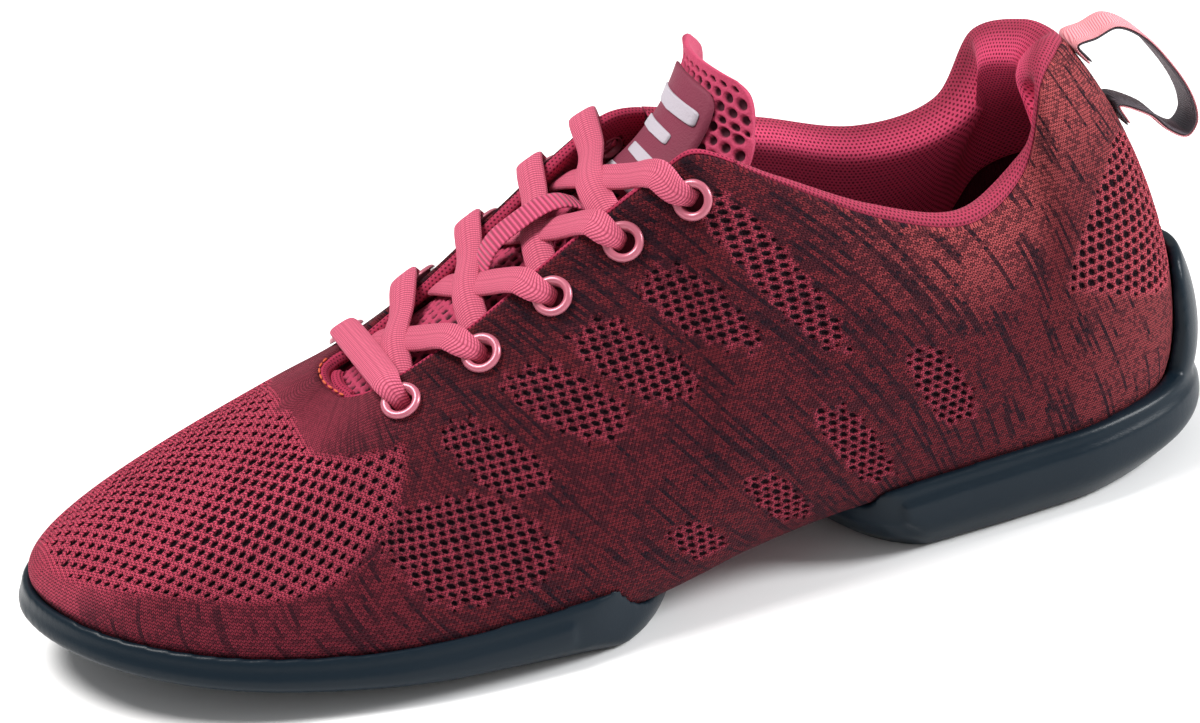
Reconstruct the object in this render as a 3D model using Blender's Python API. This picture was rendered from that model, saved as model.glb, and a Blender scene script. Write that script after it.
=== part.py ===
# Left dance sneaker with a knitted upper and a split sole, standing empty on its sole.
# Metres, +Z up, toe towards -X, outer side of the foot towards -Y.
# The origin is under the middle of the shoe's box, on the floor.
import math
from collections import namedtuple

import bmesh
import bpy
from mathutils import Vector

# Driving sizes
shoe_length = 0.261
ball_width = 0.089
collar_height = 0.094
seat_height = 0.013
knit_wall = 0.0018
gap = 0.0003
turn_under = 0.005
board_thickness = 0.0016
insole_thickness = 0.0035
lining_wall = 0.0010
facing_width = 0.013
binding_reach = 0.0013
collar_pad = 0.0076
collar_roll = 0.0040
collar_depth = 0.034
lip_wall = 0.0012
lip_band = 0.0032
sole_step = 0.0009
spur_height = 0.0425
spur_wall = 0.0062
tongue_wall = 0.0032
badge_thickness = 0.0012
badge_width = 0.023
badge_length = 0.030
eyelet_bore = 0.0025
eyelet_radius = 0.0043
eyelet_wall = 0.0004
eyelet_rim = 0.0009
lace_width = 0.0070
lace_thickness = 0.0018
lace_lift = 0.0006
keeper_width = 0.0080
keeper_wall = 0.0010
loop_width = 0.0095
loop_wall = 0.0011
samples_per_row = 2
skin_steps = 9
eyelet_sides = 10
punch_sides = 8
pad_end_steps = 12
band_sides = 6

# Lengths along the shoe are shares of shoe_length from the toe, lengths across are
# shares of half the ball width, heights and handles are shares of collar_height.
# Each row is one cut through the wall of the upper, from the turned-under edge to the
# top line. Rows run from the heel along the outer side to the toe and back.
Cut = namedtuple("Cut", "name aim foot_x foot_y top_x top_y top_z foot_out foot_up head_out head_up")
UPPER = [
    Cut("heel",          0, .958,  .00, .904,  .00, .990, .100, .080, .220, -.330),
    Cut("heel_outer",  -48, .934, -.32, .887, -.20, 1.00, .096, .080, .212, -.330),
    Cut("counter_out", -76, .870, -.54, .859, -.36, .955, .085, .080, .170, -.290),
    Cut("ankle_outer", -86, .801, -.61, .833, -.46, .785, .085, .085, .110, -.190),
    Cut("dip_outer",   -89, .740, -.64, .774, -.62, .728, .090, .085, .065, -.150),
    Cut("quarter_out", -90, .670, -.67, .697, -.67, .802, .105, .095, .085, -.180),
    Cut("shoulder_out",-91, .605, -.70, .621, -.64, .928, .125, .105, .125, -.235),
    Cut("corner_outer",-92, .552, -.74, .561, -.55, 1.02, .140, .110, .175, -.270),
    Cut("stay_outer",  -92, .510, -.79, .524, -.46, .965, .140, .105, .185, -.230),
    Cut("instep_outer",-93, .433, -.86, .450, -.43, .850, .125, .095, .215, -.165),
    Cut("ball_outer",  -97, .349, -.89, .368, -.39, .708, .118, .085, .225, -.120),
    Cut("vamp_outer", -108, .249, -.84, .299, -.34, .616, .130, .090, .255, -.090),
    Cut("toe_outer",  -130, .134, -.63, .270, -.23, .580, .158, .115, .268, -.105),
    Cut("tip_outer",  -156, .060, -.27, .261, -.09, .574, .185, .130, .325, -.150),
    Cut("toe",        -180, .032,  .20, .257,  .02, .580, .205, .160, .370, -.185),
    Cut("tip_inner",  -206, .057,  .55, .261,  .13, .588, .190, .130, .320, -.160),
    Cut("toe_inner",  -234, .126,  .76, .276,  .22, .592, .155, .105, .275, -.125),
    Cut("vamp_inner", -258, .234,  .86, .303,  .26, .612, .135, .090, .250, -.100),
    Cut("ball_inner", -270, .326,  .84, .368,  .32, .700, .125, .095, .225, -.125),
    Cut("instep_inn", -276, .418,  .69, .443,  .38, .822, .145, .135, .200, -.160),
    Cut("stay_inner", -276, .502,  .58, .500,  .44, .910, .165, .155, .165, -.210),
    Cut("corner_inn", -274, .552,  .54, .546,  .52, .948, .160, .155, .150, -.230),
    Cut("shoulder_in",-272, .605,  .52, .606,  .62, .892, .150, .150, .110, -.215),
    Cut("quarter_inn",-270, .670,  .53, .682,  .67, .800, .130, .135, .075, -.180),
    Cut("dip_inner",  -270, .740,  .56, .757,  .65, .735, .110, .115, .060, -.150),
    Cut("ankle_inner",-274, .801,  .575, .820,  .54, .785, .100, .095, .095, -.185),
    Cut("counter_inn",-284, .870,  .52, .850,  .41, .955, .090, .085, .150, -.290),
    Cut("heel_inner", -312, .934,  .32, .887,  .20, 1.00, .096, .080, .212, -.330),
]

# Heights along the shoe, as shares of seat_height: the underside of the foot, the
# tread, and the top edge of the sole's lip.
Level = namedtuple("Level", "place seat tread lip")
LEVELS = [
    Level(.00, 1.13, .83, 1.54),
    Level(.03, 1.08, .72, 1.49),
    Level(.08, .90,  .53, 1.33),
    Level(.16, .66,  .29, 1.11),
    Level(.24, .52,  .11, 1.00),
    Level(.31, .45,  .00, 1.00),
    Level(.40, .47,  .00, 1.07),
    Level(.47, .55,  .00, 1.16),
    Level(.56, .80,  .00, 1.18),
    Level(.64, .96,  .00, 1.18),
    Level(.72, 1.00, .00, 1.27),
    Level(.85, 1.00, .00, 1.33),
    Level(1.00, .96, .00, 1.36),
]

# How far the sole's side stands out from the knit at its middle, and how far its tread
# is tucked in below that, as shares of seat_height.
Flare = namedtuple("Flare", "place out tuck")
FLARES = [
    Flare(.00, .12, .66),
    Flare(.10, .12, .94),
    Flare(.20, .11, 1.02),
    Flare(.30, .11, .84),
    Flare(.38, .11, .50),
    Flare(.45, .12, .24),
    Flare(.70, .13, .20),
    Flare(.85, .17, .22),
    Flare(.93, .28, .30),
    Flare(.97, .40, .38),
    Flare(1.00, .46, .42),
]

# The ends of the two pads: height as a share of seat_height, where the middle of the
# end lies along the shoe, its rounding along the shoe and its half width.
End = namedtuple("End", "height reach rounding spread")
FOREFOOT_END = [
    End(-.30, .503, .110, 1.02),
    End(.05, .515, .100, 1.00),
    End(.30, .522, .095, .98),
    End(2.2, .526, .095, .98),
]
HEEL_END = [
    End(-.30, .668, .085, .73),
    End(.05, .654, .080, .73),
    End(.30, .640, .070, .75),
    End(.65, .630, .060, .76),
    End(2.2, .628, .058, .76),
]

# The side of the sole between tread and lip: share of the height, share of the tuck
# and share of the flare.
Side = namedtuple("Side", "rise tuck out")
SIDES = [
    Side(.00, 1.00, .00),
    Side(.06, .70, .00),
    Side(.20, .41, .30),
    Side(.42, .12, .80),
    Side(.66, .00, 1.00),
]

# Thickness of the collar's padding by rows from the heel, as a share of collar_pad.
Pad = namedtuple("Pad", "row share")
PADDING = [
    Pad(0.0, 1.0),
    Pad(3.0, .92),
    Pad(5.0, .66),
    Pad(6.0, .36),
    Pad(7.0, .14),
]

# Tongue: place of its middle line, height, half width, fall of its edges, and lean
# towards the inner side.
Fold = namedtuple("Fold", "place height half fall lean")
TONGUE = [
    Fold(.205, .430, .32, .015, .00),
    Fold(.240, .490, .38, .030, .00),
    Fold(.280, .553, .42, .055, .00),
    Fold(.340, .642, .48, .090, .00),
    Fold(.410, .744, .53, .118, .00),
    Fold(.480, .838, .56, .125, .00),
    Fold(.535, .920, .50, .120, .01),
    Fold(.566, 1.00, .46, .115, .02),
    Fold(.580, 1.06, .42, .105, .035),
    Fold(.590, 1.105, .39, .085, .06),
    Fold(.595, 1.135, .34, .045, .10),
]

# Row of the tongue at which the badge begins.
BADGE_FOOT = 5.5

# Eyelets: place along the shoe and distance below the top line, as a share of the
# facing's width.
Hole = namedtuple("Hole", "place setback")
EYELETS_OUTER = [
    Hole(.303, .50),
    Hole(.370, .50),
    Hole(.431, .50),
    Hole(.492, .50),
    Hole(.548, .62),
]
EYELETS_INNER = [
    Hole(.303, .50),
    Hole(.370, .50),
    Hole(.431, .50),
    Hole(.490, .50),
    Hole(.541, .62),
]

# Pull loop, in the shoe's middle plane: place along the shoe and height. Its ends lie
# flat on the back of the knit, at distances below the top line.
Bend = namedtuple("Bend", "place height")
PULL_LOOP = [
    Bend(.925, .996),
    Bend(.944, 1.010),
    Bend(.965, .975),
    Bend(.985, .905),
    Bend(1.003, .815),
    Bend(1.008, .745),
    Bend(.999, .712),
    Bend(.984, .735),
    Bend(.968, .782),
]
LOOP_TOP = (0.006, 0.001)
LOOP_FOOT = (0.0185, 0.0235)

half_ball = ball_width / 2
toe_row = len(UPPER) // 2
collar_end = toe_row / 2 - 0.5
lace_clear = 3 * gap + lace_thickness / 2
lace_stop = eyelet_radius + 2 * gap
UP = Vector((0, 0, 1))


def along(share):
    return (share - 0.5) * shoe_length


def share_of(x):
    return x / shoe_length + 0.5


def curve_through(knots, values, at):
    """Smooth value at one place of a table whose knots rise."""
    at = min(max(at, knots[0]), knots[-1])
    i = 0
    while i < len(knots) - 2 and at > knots[i + 1]:
        i += 1
    slopes = []
    for j in (i, i + 1):
        low = max(j - 1, 0)
        high = min(j + 1, len(knots) - 1)
        slopes.append((values[high] - values[low]) / (knots[high] - knots[low]))
    span = knots[i + 1] - knots[i]
    t = (at - knots[i]) / span
    return ((2 * t**3 - 3 * t**2 + 1) * values[i] + (t**3 - 2 * t**2 + t) * span * slopes[0]
            + (3 * t**2 - 2 * t**3) * values[i + 1] + (t**3 - t**2) * span * slopes[1])


def column(table, name):
    return [getattr(row, name) for row in table]


def level(name, x):
    return seat_height * max(0.0, curve_through(column(LEVELS, "place"), column(LEVELS, name), share_of(x)))


def above_seat(rise):
    """Height of the seat line, raised by a distance, as a function of x."""
    return lambda x: level("seat", x) + rise


def flare(x, name="out"):
    return seat_height * curve_through(column(FLARES, "place"), column(FLARES, name), share_of(x))


def around(values, u):
    """Smooth value between the rows of the closed table of cuts."""
    i = math.floor(u)
    t = u - i
    a, b, c, d = (values[(i + k) % len(values)] for k in (-1, 0, 1, 2))
    return 0.5 * (2 * b + (c - a) * t + (2 * a - 5 * b + 4 * c - d) * t**2 + (3 * b - a - 3 * c + d) * t**3)


def cut_value(name, u):
    return around(column(UPPER, name), u)


def outward(u):
    x = around([math.cos(math.radians(row.aim)) for row in UPPER], u)
    y = around([math.sin(math.radians(row.aim)) for row in UPPER], u)
    return Vector((x, y, 0)).normalized()


def foot_point(u, inset=0.0, rise=0.0):
    """Point on the edge where the upper turns under the foot."""
    edge = Vector((along(cut_value("foot_x", u)), cut_value("foot_y", u) * half_ball, 0))
    edge -= outward(u) * inset
    edge.z = level("seat", edge.x) + rise
    return edge


def skin(u, v):
    """Outer face of the upper: u runs around the shoe in rows, v from foot to top line."""
    foot = foot_point(u)
    top = Vector((along(cut_value("top_x", u)), cut_value("top_y", u) * half_ball,
                  cut_value("top_z", u) * collar_height))
    out = outward(u) * collar_height
    lower = foot + out * cut_value("foot_out", u) + UP * cut_value("foot_up", u) * collar_height
    upper = top + out * cut_value("head_out", u) + UP * cut_value("head_up", u) * collar_height
    w = 1 - v
    return foot * w**3 + lower * (3 * v * w**2) + upper * (3 * v**2 * w) + top * v**3


def skin_normal(u, v):
    v = min(max(v, 0.002), 0.998)
    across = skin(u + 0.02, v) - skin(u - 0.02, v)
    upward = skin(u, v + 0.002) - skin(u, v - 0.002)
    return upward.cross(across).normalized()


def shell(u, v, depth):
    """Point at a depth inside the outer face of the upper."""
    return skin(u, v) - skin_normal(u, v) * depth


def below_top(u, distance):
    """The v of the point that lies a distance down the wall from the top line."""
    steps = 40
    last = skin(u, 1.0)
    walked = 0.0
    for i in range(1, steps + 1):
        v = 1 - i / steps
        here = skin(u, v)
        length = (here - last).length
        if walked + length >= distance:
            return v + (walked + length - distance) / length / steps
        walked += length
        last = here
    return 0.0


def from_top(u, rise, depth):
    """Point by its rise above the top line, negative below it, and its depth inside."""
    if rise <= 0:
        return shell(u, below_top(u, -rise), depth)
    upward = (skin(u, 1.0) - skin(u, 0.98)).normalized()
    return shell(u, 1.0, depth) + upward * rise


def height_on_skin(u, wanted):
    """The v at which the outer face reaches a height given as a function of x."""
    low = 0.0
    high = 0.8
    for _ in range(26):
        v = (low + high) / 2
        point = skin(u, v)
        if point.z < wanted(point.x):
            low = v
        else:
            high = v
    return (low + high) / 2


def around_rows(first, last):
    """Rows from first to last, on the same steps as the closed upper."""
    inner = range(math.floor(first * samples_per_row) + 1, math.ceil(last * samples_per_row))
    return [first] + [i / samples_per_row for i in inner] + [last]


def closed_rows():
    return [i / samples_per_row for i in range(len(UPPER) * samples_per_row)]


def material(name, colour, roughness, metallic=0.0):
    made = bpy.data.materials.new(name)
    made.use_nodes = True
    shader = made.node_tree.nodes["Principled BSDF"]
    shader.inputs["Base Color"].default_value = (*colour, 1.0)
    shader.inputs["Roughness"].default_value = roughness
    shader.inputs["Metallic"].default_value = metallic
    return made


def solid(name, points, faces, finish, shown=True):
    """One closed object from points and faces, its faces turned outwards."""
    mesh = bpy.data.meshes.new(name)
    mesh.from_pydata([tuple(p) for p in points], [], faces)
    bm = bmesh.new()
    bm.from_mesh(mesh)
    bmesh.ops.triangulate(bm, faces=bm.faces[:], quad_method="SHORT_EDGE")
    bmesh.ops.recalc_face_normals(bm, faces=bm.faces[:])
    if bm.calc_volume(signed=True) < 0:
        bmesh.ops.reverse_faces(bm, faces=bm.faces[:])
    bm.to_mesh(mesh)
    bm.free()
    mesh.shade_smooth()
    made = bpy.data.objects.new(name, mesh)
    bpy.context.scene.collection.objects.link(made)
    made.parent = shoe
    if shown:
        mesh.materials.append(finish)
    else:
        made.hide_render = True
        made.display_type = "WIRE"
    return made


def boolean(target, operation, cutter):
    step = target.modifiers.new(cutter.name, "BOOLEAN")
    step.operation = operation
    step.solver = "EXACT"
    step.object = cutter


def loft(rings, close_rings, cap=True):
    """Points and faces through rings of equal count. Each ring is a closed section."""
    size = len(rings[0])
    points = [p for ring in rings for p in ring]
    faces = []
    spans = len(rings) if close_rings else len(rings) - 1
    for i in range(spans):
        a = i * size
        b = ((i + 1) % len(rings)) * size
        for k in range(size):
            n = (k + 1) % size
            faces.append((a + k, a + n, b + n, b + k))
    if cap and not close_rings:
        faces.append(tuple(reversed(range(size))))
        faces.append(tuple(range((len(rings) - 1) * size, len(rings) * size)))
    return points, faces


def ladder(loop, lanes, height=None):
    """Inner points and faces that fill a closed loop, rung by rung across the shoe."""
    half = len(loop) // 2
    rungs = []
    extra = []
    for i in range(1, half):
        a = loop[i]
        b = loop[len(loop) - i]
        rung = [i]
        for k in range(1, lanes):
            point = a.lerp(b, k / lanes)
            if height:
                point.z = height(point.x)
            rung.append(len(loop) + len(extra))
            extra.append(point)
        rung.append(len(loop) - i)
        rungs.append(rung)
    faces = []
    for low, high in zip(rungs, rungs[1:]):
        for k in range(lanes):
            faces.append((low[k], low[k + 1], high[k + 1], high[k]))
    for k in range(lanes):
        faces.append((0, rungs[0][k + 1], rungs[0][k]))
        faces.append((half, rungs[-1][k], rungs[-1][k + 1]))
    return extra, faces


def stack(loops, lanes, low_height=None, high_height=None):
    """Points and faces of a solid made of loops one above another, filled at both ends."""
    size = len(loops[0])
    points = [p for loop in loops for p in loop]
    faces = []
    for i in range(len(loops) - 1):
        for k in range(size):
            n = (k + 1) % size
            faces.append((i * size + k, i * size + n, (i + 1) * size + n, (i + 1) * size + k))
    for start, loop, height in ((0, loops[0], low_height), ((len(loops) - 1) * size, loops[-1], high_height)):
        extra, cap = ladder(loop, lanes, height)
        base = len(points)
        points += extra
        for face in cap:
            faces.append(tuple(start + i if i < size else base + i - size for i in face))
    return points, faces


def make_upper(finish):
    rings = []
    for u in closed_rows():
        outer = [skin(u, 1 - i / skin_steps) for i in range(skin_steps + 1)]
        inner = []
        for i in range(skin_steps + 1):
            point = shell(u, i / skin_steps, knit_wall)
            point.z = max(point.z, level("seat", point.x) + knit_wall)
            inner.append(point)
        under = [foot_point(u, turn_under), foot_point(u, turn_under, knit_wall)]
        rings.append(outer + under + inner)
    return solid("upper", *loft(rings, True), finish)


def make_board(finish):
    rows = closed_rows()
    low = [foot_point(u, turn_under + gap) for u in rows]
    high = [foot_point(u, turn_under + gap, board_thickness) for u in rows]
    solid("strobel_sole", *stack([low, high], 2, above_seat(0), above_seat(board_thickness)), finish)


def make_insole(finish):
    rows = closed_rows()
    base = knit_wall + gap
    top = base + insole_thickness
    loops = [
        [foot_point(u, knit_wall, base) for u in rows],
        [foot_point(u, knit_wall * 0.5, (base + top) / 2) for u in rows],
        [foot_point(u, knit_wall * 0.3, top) for u in rows],
    ]
    solid("insole", *stack(loops, 2, above_seat(base), above_seat(top)), finish)


def sole_blank(name, finish, shown):
    """The whole sole's outer form, with its tread, side, step and lip."""
    rows = closed_rows()
    edges = []
    for u in rows:
        v = height_on_skin(u, lambda x: level("lip", x))
        edges.append((skin(u, v), skin_normal(u, v)))
    loops = []
    for side in SIDES:
        loops.append([side_point(edge, normal, side) for edge, normal in edges])
    ring = []
    shoulder = []
    rim = []
    crest = []
    for edge, normal in edges:
        out = Vector((normal.x, normal.y, 0)).normalized()
        reach = gap + lip_wall
        ring.append(edge + out * (reach + flare(edge.x)) - UP * (lip_band + sole_step))
        shoulder.append(edge + out * (reach + flare(edge.x) - sole_step) - UP * lip_band)
        rim.append(edge + out * (reach + (flare(edge.x) - sole_step) * 0.7) - UP * lip_wall * 0.6)
        crest.append(edge + out * (gap + lip_wall * 0.7))
    return solid(name, *stack(loops + [ring, shoulder, rim, crest], 4), finish, shown)


def side_point(edge, normal, side):
    out = Vector((normal.x, normal.y, 0)).normalized()
    low = level("tread", edge.x)
    high = edge.z - lip_band - sole_step
    reach = gap + lip_wall + flare(edge.x) * side.out - flare(edge.x, "tuck") * side.tuck
    point = edge + out * reach
    point.z = low + (high - low) * side.rise
    return point


def last_form():
    """What the sole must clear: the upper's outer face and its underside, one gap out."""
    rows = closed_rows()
    loops = []
    for i in range(round(skin_steps * 0.67) + 1):
        v = i / skin_steps
        loops.append([shell(u, v, -gap) for u in rows])
    for i, u in enumerate(rows):
        loops[0][i] = foot_point(u, 0.0, -gap)
    return solid("last_form", *stack(loops, 4, above_seat(-gap)), None, False)


def end_block(name, table, back):
    """The region that a pad keeps: a round-ended block, its end leaning with height."""
    loops = []
    for row in table:
        loop = []
        for i in range(pad_end_steps + 1):
            angle = math.pi * (i / pad_end_steps - 0.5)
            y = math.sin(angle) * row.spread * half_ball
            curve = (1 - math.cos(angle)) * row.rounding * shoe_length
            x = along(row.reach) + (curve if back else -curve)
            loop.append(Vector((x, y, row.height * seat_height)))
        far = along(1.2 if back else -0.2)
        wide = 1.6 * half_ball
        z = row.height * seat_height
        loop.append(Vector((loop[-1].x, wide, z)))
        loop.append(Vector((far, wide, z)))
        loop.append(Vector((far, -wide, z)))
        loop.append(Vector((loop[0].x, -wide, z)))
        loops.append(loop)
    return solid(name, *loft(loops, False), None, False)


def make_spur():
    """Strip that rises from the heel pad up the back of the upper."""
    rings = []
    heights = [0.20, 0.45, 0.68, 0.86, 0.96, 1.0]
    halves = [0.95, 0.72, 0.62, 0.54, 0.42, 0.26]
    lanes = 6
    for share, half in zip(heights, halves):
        inner = []
        outer = []
        for k in range(lanes + 1):
            u = half * (1 - 2 * k / lanes)
            v = height_on_skin(u, lambda x: spur_height * share)
            edge = 1 - abs(1 - 2 * k / lanes) ** 4 * 0.45
            thin = 1 - 0.55 * share**3
            inner.append(shell(u, v, gap))
            outer.append(shell(u, v, -gap - spur_wall * edge * thin))
        rings.append(inner + list(reversed(outer)))
    return solid("spur_form", *loft(rings, False), None, False)


def make_pads(finish):
    last = last_form()
    front = sole_blank("outsole_forefoot", finish, True)
    boolean(front, "INTERSECT", end_block("forefoot_block", FOREFOOT_END, False))
    boolean(front, "DIFFERENCE", last)
    rear = sole_blank("outsole_heel", finish, True)
    boolean(rear, "INTERSECT", end_block("heel_block", HEEL_END, True))
    boolean(rear, "UNION", make_spur())
    boolean(rear, "DIFFERENCE", last)
    return front, rear


def strip(name, first, last, section, finish):
    """Solid that follows the top line from one row to another, its section by row."""
    rings = []
    for u in around_rows(first, last):
        rings.append([from_top(u, rise, depth) for rise, depth in section(u)])
    return solid(name, *loft(rings, False), finish)


def collar_section(u):
    rows = abs(u)
    pad = collar_pad * curve_through(column(PADDING, "row"), column(PADDING, "share"), rows)
    roll = collar_roll * (0.35 + 0.65 * min(1.0, pad / collar_pad * 1.5))
    outer = knit_wall + 2 * gap
    inner = outer + lining_wall + pad
    return [
        (-collar_depth, outer),
        (-collar_depth * 0.72, outer),
        (-collar_depth * 0.45, outer),
        (-collar_depth * 0.2, outer),
        (gap * 2, outer),
        (gap * 2, knit_wall * 0.4),
        (roll * 0.5, knit_wall * 0.1),
        (roll * 0.95, knit_wall * 0.8),
        (roll, outer + pad * 0.4),
        (roll * 0.5, inner - pad * 0.08),
        (-roll, inner),
        (-collar_depth * 0.4, inner - pad * 0.2),
        (-collar_depth * 0.7, inner - pad * 0.6),
        (-collar_depth, outer + lining_wall),
    ]


def make_collar(finish):
    strip("collar_lining", -collar_end, collar_end, collar_section, finish)


def make_facing(finish):
    outer = knit_wall + 2 * gap
    inner = outer + lining_wall
    section = [
        (-facing_width, outer),
        (-facing_width / 2, outer),
        (binding_reach, outer * 0.9),
        (binding_reach, inner),
        (-facing_width / 2, inner),
        (-facing_width, inner),
    ]
    start = collar_end + 0.25
    return strip("throat_facing", start, len(UPPER) - start, lambda u: section, finish)


def eyelet_place(hole, side):
    """Row of the cut on which an eyelet lies, found from its place along the shoe."""
    low, high = (toe_row / 2, toe_row - 1) if side < 0 else (len(UPPER) - toe_row / 2, toe_row + 1)
    for _ in range(30):
        u = (low + high) / 2
        v = below_top(u, hole.setback * facing_width)
        if share_of(skin(u, v).x) > hole.place:
            low = u
        else:
            high = u
    return u, v


def eyelet_frame(hole, side):
    u, v = eyelet_place(hole, side)
    return skin(u, v), skin_normal(u, v)


def turned(name, profile, place, axis, finish):
    """Ring turned around an axis through a place."""
    turn = axis.to_track_quat("Z", "Y")
    rings = []
    for i in range(eyelet_sides):
        angle = 2 * math.pi * i / eyelet_sides
        ring = []
        for radius, height in profile:
            ring.append(place + turn @ Vector((radius * math.cos(angle), radius * math.sin(angle), height)))
        rings.append(ring)
    solid(name, *loft(rings, True), finish)


def make_eyelets(upper, facing, finish):
    barrel = eyelet_bore + eyelet_wall
    depth = -(knit_wall + 2 * gap + lining_wall)
    seat = 2 * gap
    profile = [
        (eyelet_bore, depth),
        (eyelet_bore, seat + eyelet_rim * 0.5),
        ((eyelet_bore + eyelet_radius) / 2, seat + eyelet_rim),
        (eyelet_radius, seat + eyelet_rim * 0.2),
        (barrel, seat),
        (barrel, depth),
    ]
    for side, label, table in ((-1, "outer", EYELETS_OUTER), (1, "inner", EYELETS_INNER)):
        for number, hole in enumerate(table, 1):
            place, axis = eyelet_frame(hole, side)
            turned(f"eyelet_{label}_{number}", profile, place, axis, finish)
            punch = rod(f"punch_{label}_{number}", place, axis, barrel + 2 * gap, knit_wall * 3)
            boolean(upper, "DIFFERENCE", punch)
            boolean(facing, "DIFFERENCE", punch)


def rod(name, place, axis, radius, half_length):
    """Round punch through a place, along an axis."""
    turn = axis.to_track_quat("Z", "Y")
    rings = []
    for height in (-half_length, half_length):
        ring = []
        for i in range(punch_sides):
            angle = 2 * math.pi * i / punch_sides
            ring.append(place + turn @ Vector((radius * math.cos(angle), radius * math.sin(angle), height)))
        rings.append(ring)
    return solid(name, *loft(rings, False), None, False)


def tongue_point(t, side, depth=0.0):
    """Point on the tongue: t runs up its rows, side from -1 to 1, depth into it."""
    knots = list(range(len(TONGUE)))

    def middle(at):
        x = along(curve_through(knots, column(TONGUE, "place"), at))
        y = curve_through(knots, column(TONGUE, "lean"), at) * half_ball
        z = curve_through(knots, column(TONGUE, "height"), at) * collar_height
        return Vector((x, y, z))

    low = max(t - 0.05, 0)
    high = min(t + 0.05, knots[-1])
    direction = (middle(high) - middle(low)).normalized()
    inward = Vector((direction.z, 0, -direction.x)).normalized()
    half = curve_through(knots, column(TONGUE, "half"), t) * half_ball
    fall = curve_through(knots, column(TONGUE, "fall"), t) * collar_height
    slope = math.atan2(2 * fall * side, half)
    tilt = Vector((0, math.sin(slope), 0)) - inward * math.cos(slope)
    edge = middle(t) + Vector((0, half * side, 0)) + inward * fall * side**2
    return edge - tilt * depth


def make_tongue(finish):
    lanes = 6
    rings = []
    steps = 14
    for i in range(steps + 1):
        t = (len(TONGUE) - 1) * i / steps
        thin = tongue_wall * (0.45 if i == steps else 1.0)
        top = []
        under = []
        for k in range(lanes + 1):
            side = 2 * k / lanes - 1
            edge = 1 - 0.55 * abs(side) ** 6
            top.append(tongue_point(t, side, tongue_wall * (1 - edge) / 2))
            under.append(tongue_point(t, side, tongue_wall * (1 - edge) / 2 + thin * edge))
        rings.append(top + list(reversed(under)))
    solid("tongue", *loft(rings, False), finish)


def make_badge(finish):
    """Soft patch that lies on the upper half of the tongue."""
    knots = list(range(len(TONGUE)))
    lanes = 4
    steps = 7
    first = BADGE_FOOT
    last = first
    while (tongue_point(last, 0) - tongue_point(first, 0)).length < badge_length:
        last += 0.05
    rings = []
    for i in range(steps + 1):
        t = first + (last - first) * i / steps
        half = curve_through(knots, column(TONGUE, "half"), t) * half_ball
        end = abs(2 * i / steps - 1)
        reach = badge_width / 2 * (1 - 0.3 * end**5) / half
        under = []
        top = []
        for k in range(lanes + 1):
            side = (2 * k / lanes - 1) * reach
            under.append(tongue_point(t, side, -1.5 * gap))
            top.append(tongue_point(t, side, -1.5 * gap - badge_thickness))
        rings.append(under + list(reversed(top)))
    solid("tongue_badge", *loft(rings, False), finish)


def flat_band(path, width_axes, normals, width, thickness):
    """Rings of a flat band with round edges along a path."""
    rings = []
    for point, wide, normal in zip(path, width_axes, normals):
        ring = []
        for k in range(band_sides):
            angle = 2 * math.pi * (k + 0.5) / band_sides
            a = math.copysign(abs(math.cos(angle)) ** 0.7, math.cos(angle)) * width / 2
            b = math.sin(angle) * thickness / 2
            ring.append(point + wide * a + normal * b)
        rings.append(ring)
    return rings


def smooth_route(points, parts):
    """The smooth curve through route points, each leg in equal parts."""
    knots = [0.0]
    for a, b in zip(points, points[1:]):
        knots.append(knots[-1] + (b - a).length)
    made = []
    for low, high in zip(knots, knots[1:]):
        for i in range(parts):
            at = low + (high - low) * i / parts
            made.append(Vector([curve_through(knots, [p[axis] for p in points], at) for axis in range(3)]))
    made.append(points[-1])
    return made


def band_frames(path, hints):
    """Width and normal directions along a band, from the way its face points."""
    wide = []
    normals = []
    for i, hint in enumerate(hints):
        before = path[max(i - 1, 0)]
        after = path[min(i + 1, len(path) - 1)]
        direction = (after - before).normalized()
        side = direction.cross(hint).normalized()
        wide.append(side)
        normals.append(side.cross(direction).normalized())
    return wide, normals


def tongue_at(x, y):
    """Point and outward direction on the tongue above a place in plan."""
    low = 0.0
    high = len(TONGUE) - 1.0
    knots = list(range(len(TONGUE)))
    side = 0.0
    for _ in range(28):
        t = (low + high) / 2
        half = curve_through(knots, column(TONGUE, "half"), t) * half_ball
        side = max(-1.0, min(1.0, y / half))
        if tongue_point(t, side).x < x:
            low = t
        else:
            high = t
    here = tongue_point(t, side)
    normal = here - tongue_point(t, side, tongue_wall)
    return here, normal.normalized()


def over_edge(hole, side, lift):
    """Route over the throat's edge to the rim of an eyelet."""
    u, v = eyelet_place(hole, side)
    reach = hole.setback * facing_width - lace_stop
    axis = skin_normal(u, v)
    return [
        from_top(u, binding_reach * 1.8, 0) + axis * (lift + gap),
        from_top(u, -reach, 0) + axis * lift,
    ]


def strand(name, start, hole, side, over, finish, shown):
    """Lace from inside the throat on one side, over the other edge, to an eyelet."""
    edge = over_edge(hole, side, lace_clear)
    route = [start]
    for share in (0.35, 0.68):
        point = start.lerp(edge[0], share)
        base, normal = tongue_at(point.x, point.y)
        resting = base + normal * (lace_thickness / 2 + lace_lift + over)
        if (point - base).dot(normal) > (resting - base).dot(normal):
            route.append(point)
        else:
            route.append(resting)
    path = smooth_route(route + edge, 2)
    wide, normals = band_frames(path, [tongue_at(p.x, p.y)[1] for p in path])
    outer = skin_normal(*eyelet_place(hole, side))
    for i in (-1, -2, -3, -4):
        normals[i] = outer
        wide[i] = (edge[1] - edge[0]).cross(outer).normalized()
    rings = flat_band(path, wide, normals, lace_width, lace_thickness)
    return solid(name, *loft(rings, False), finish, shown)


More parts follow.
